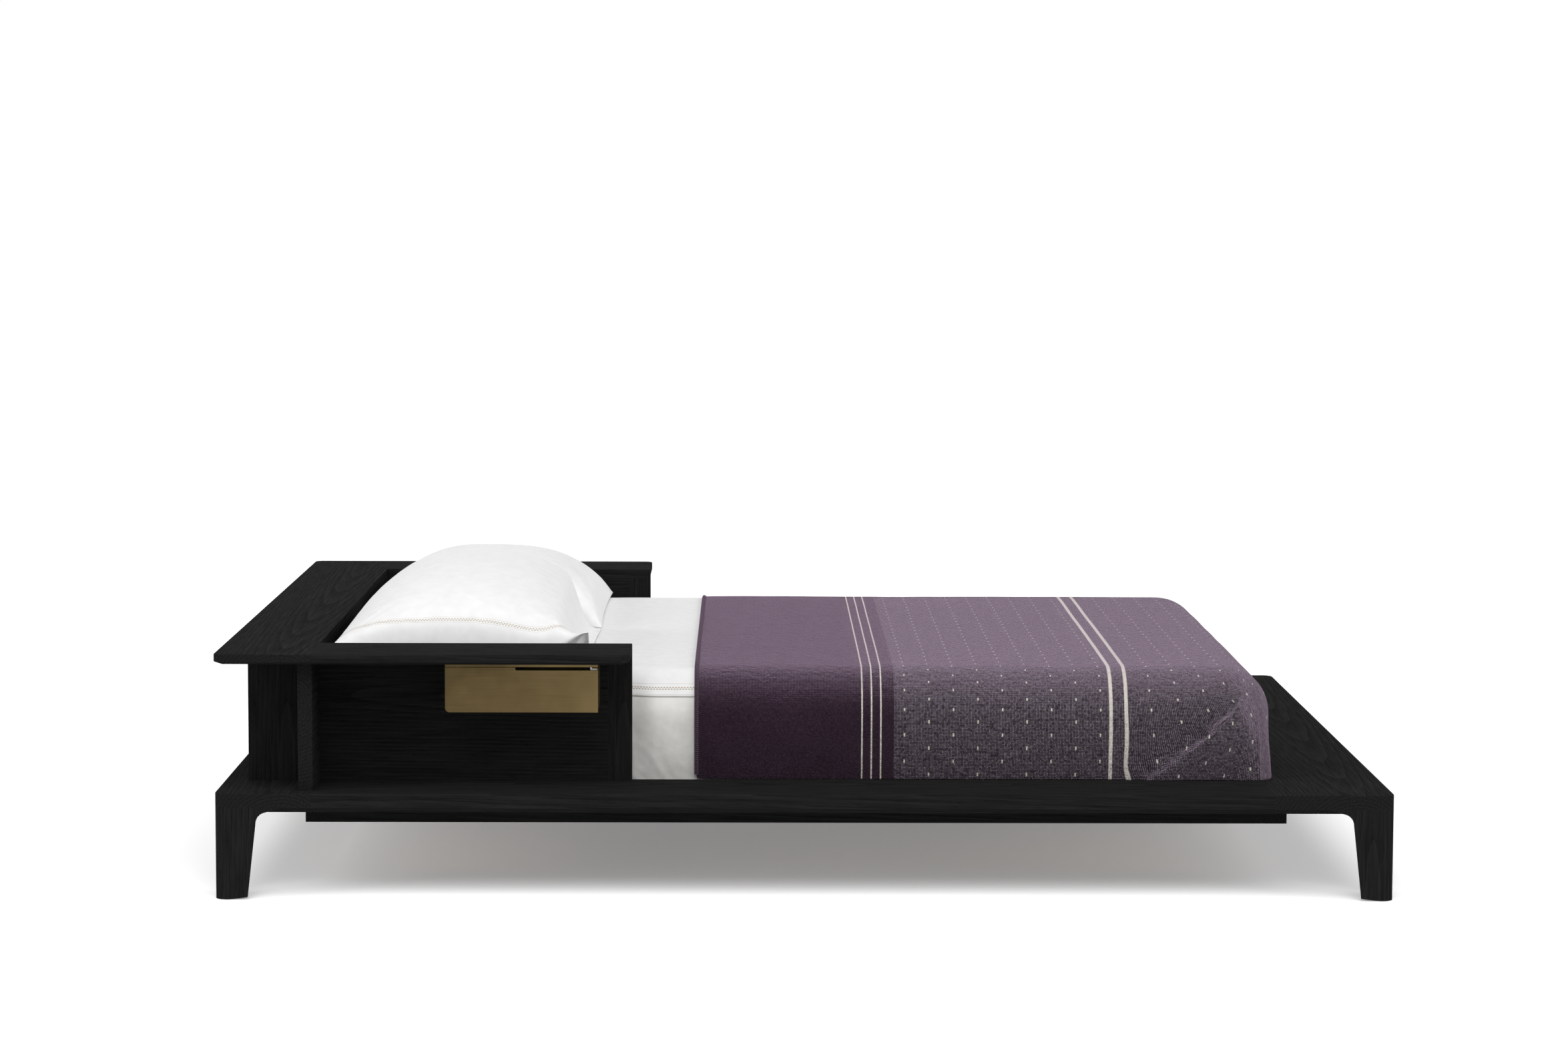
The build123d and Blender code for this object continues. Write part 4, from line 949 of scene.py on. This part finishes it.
# STUDIO
# A plain white floor under broad soft light: one lamp above the near side, and a low one beyond
# each end, all suns with a wide disc. The camera faces the near side from eye height, 8 m back.
FLOOR_SIZE = 60.0
FLOOR_WHITE = (0.93, 0.93, 0.93, 1)
FLOOR_GLOW = 0.22
AMBIENT = 0.24
WHITE = (1, 1, 1, 1)
SOFT_LAMPS = (
    ("overhead", 1.95, 45, 34, 0),
    ("head_side", 1.7, 40, 15, -66),
    ("foot_side", 1.7, 40, 15, 66),
)
CAMERA_PLACE = (-0.1208, -8.7539, 1.5087)
CAMERA_TURN = (radians(-0.54398), radians(90 - 5.28944), radians(0.19535))
CAMERA_LENS, SENSOR_WIDTH = 87.4305, 36.0


def seen_directly(tree):
    """1 for rays from the camera and for those mirrored or passed on by the object."""
    path = add(tree, "LightPath").outputs
    mirrored = sums(tree, "MAXIMUM", path["Is Glossy Ray"], path["Is Transmission Ray"])
    return sums(tree, "MAXIMUM", path["Is Camera Ray"], mirrored)


floor_mesh = bmesh.new()
bmesh.ops.create_grid(floor_mesh, x_segments=1, y_segments=1, size=FLOOR_SIZE / 2)
floor_material, floor_tree, floor_shader = new_material("studio_floor")
shader(floor_shader, base_color=FLOOR_WHITE, roughness=1.0, specular_ior_level=0.0, emission_color=WHITE)
glow = sums(floor_tree, "MULTIPLY", seen_directly(floor_tree), FLOOR_GLOW)
floor_tree.links.new(glow, floor_shader.inputs["Emission Strength"])
floor = finish_piece(floor_mesh, "floor", floor_material)

world = bpy.data.worlds.new("studio")
world.use_nodes = True
sky = world.node_tree.nodes["Background"]
sky.inputs["Color"].default_value = WHITE
level = between(world.node_tree, seen_directly(world.node_tree), 0.0, 1.0, AMBIENT, 1.0)
world.node_tree.links.new(level, sky.inputs["Strength"])
bpy.context.scene.world = world

for name, strength, spread, tilt, turn in SOFT_LAMPS:
    lamp = bpy.data.lights.new(name, "SUN")
    lamp.energy, lamp.angle = strength, radians(spread)
    placed = bpy.data.objects.new(name, lamp)
    placed.rotation_euler = (radians(tilt), radians(turn), 0)
    bpy.context.scene.collection.objects.link(placed)

camera = bpy.data.objects.new("camera", bpy.data.cameras.new("camera"))
camera.data.lens, camera.data.sensor_width = CAMERA_LENS, SENSOR_WIDTH
yaw, pitch, roll = CAMERA_TURN
camera.matrix_world = (
    Matrix.Translation(CAMERA_PLACE)
    @ Matrix.Rotation(yaw, 4, "Z")
    @ Matrix.Rotation(pitch, 4, "X")
    @ Matrix.Rotation(roll, 4, "Z")
)
bpy.context.scene.collection.objects.link(camera)
bpy.context.scene.camera = camera
bpy.context.scene.view_settings.view_transform = "Standard"
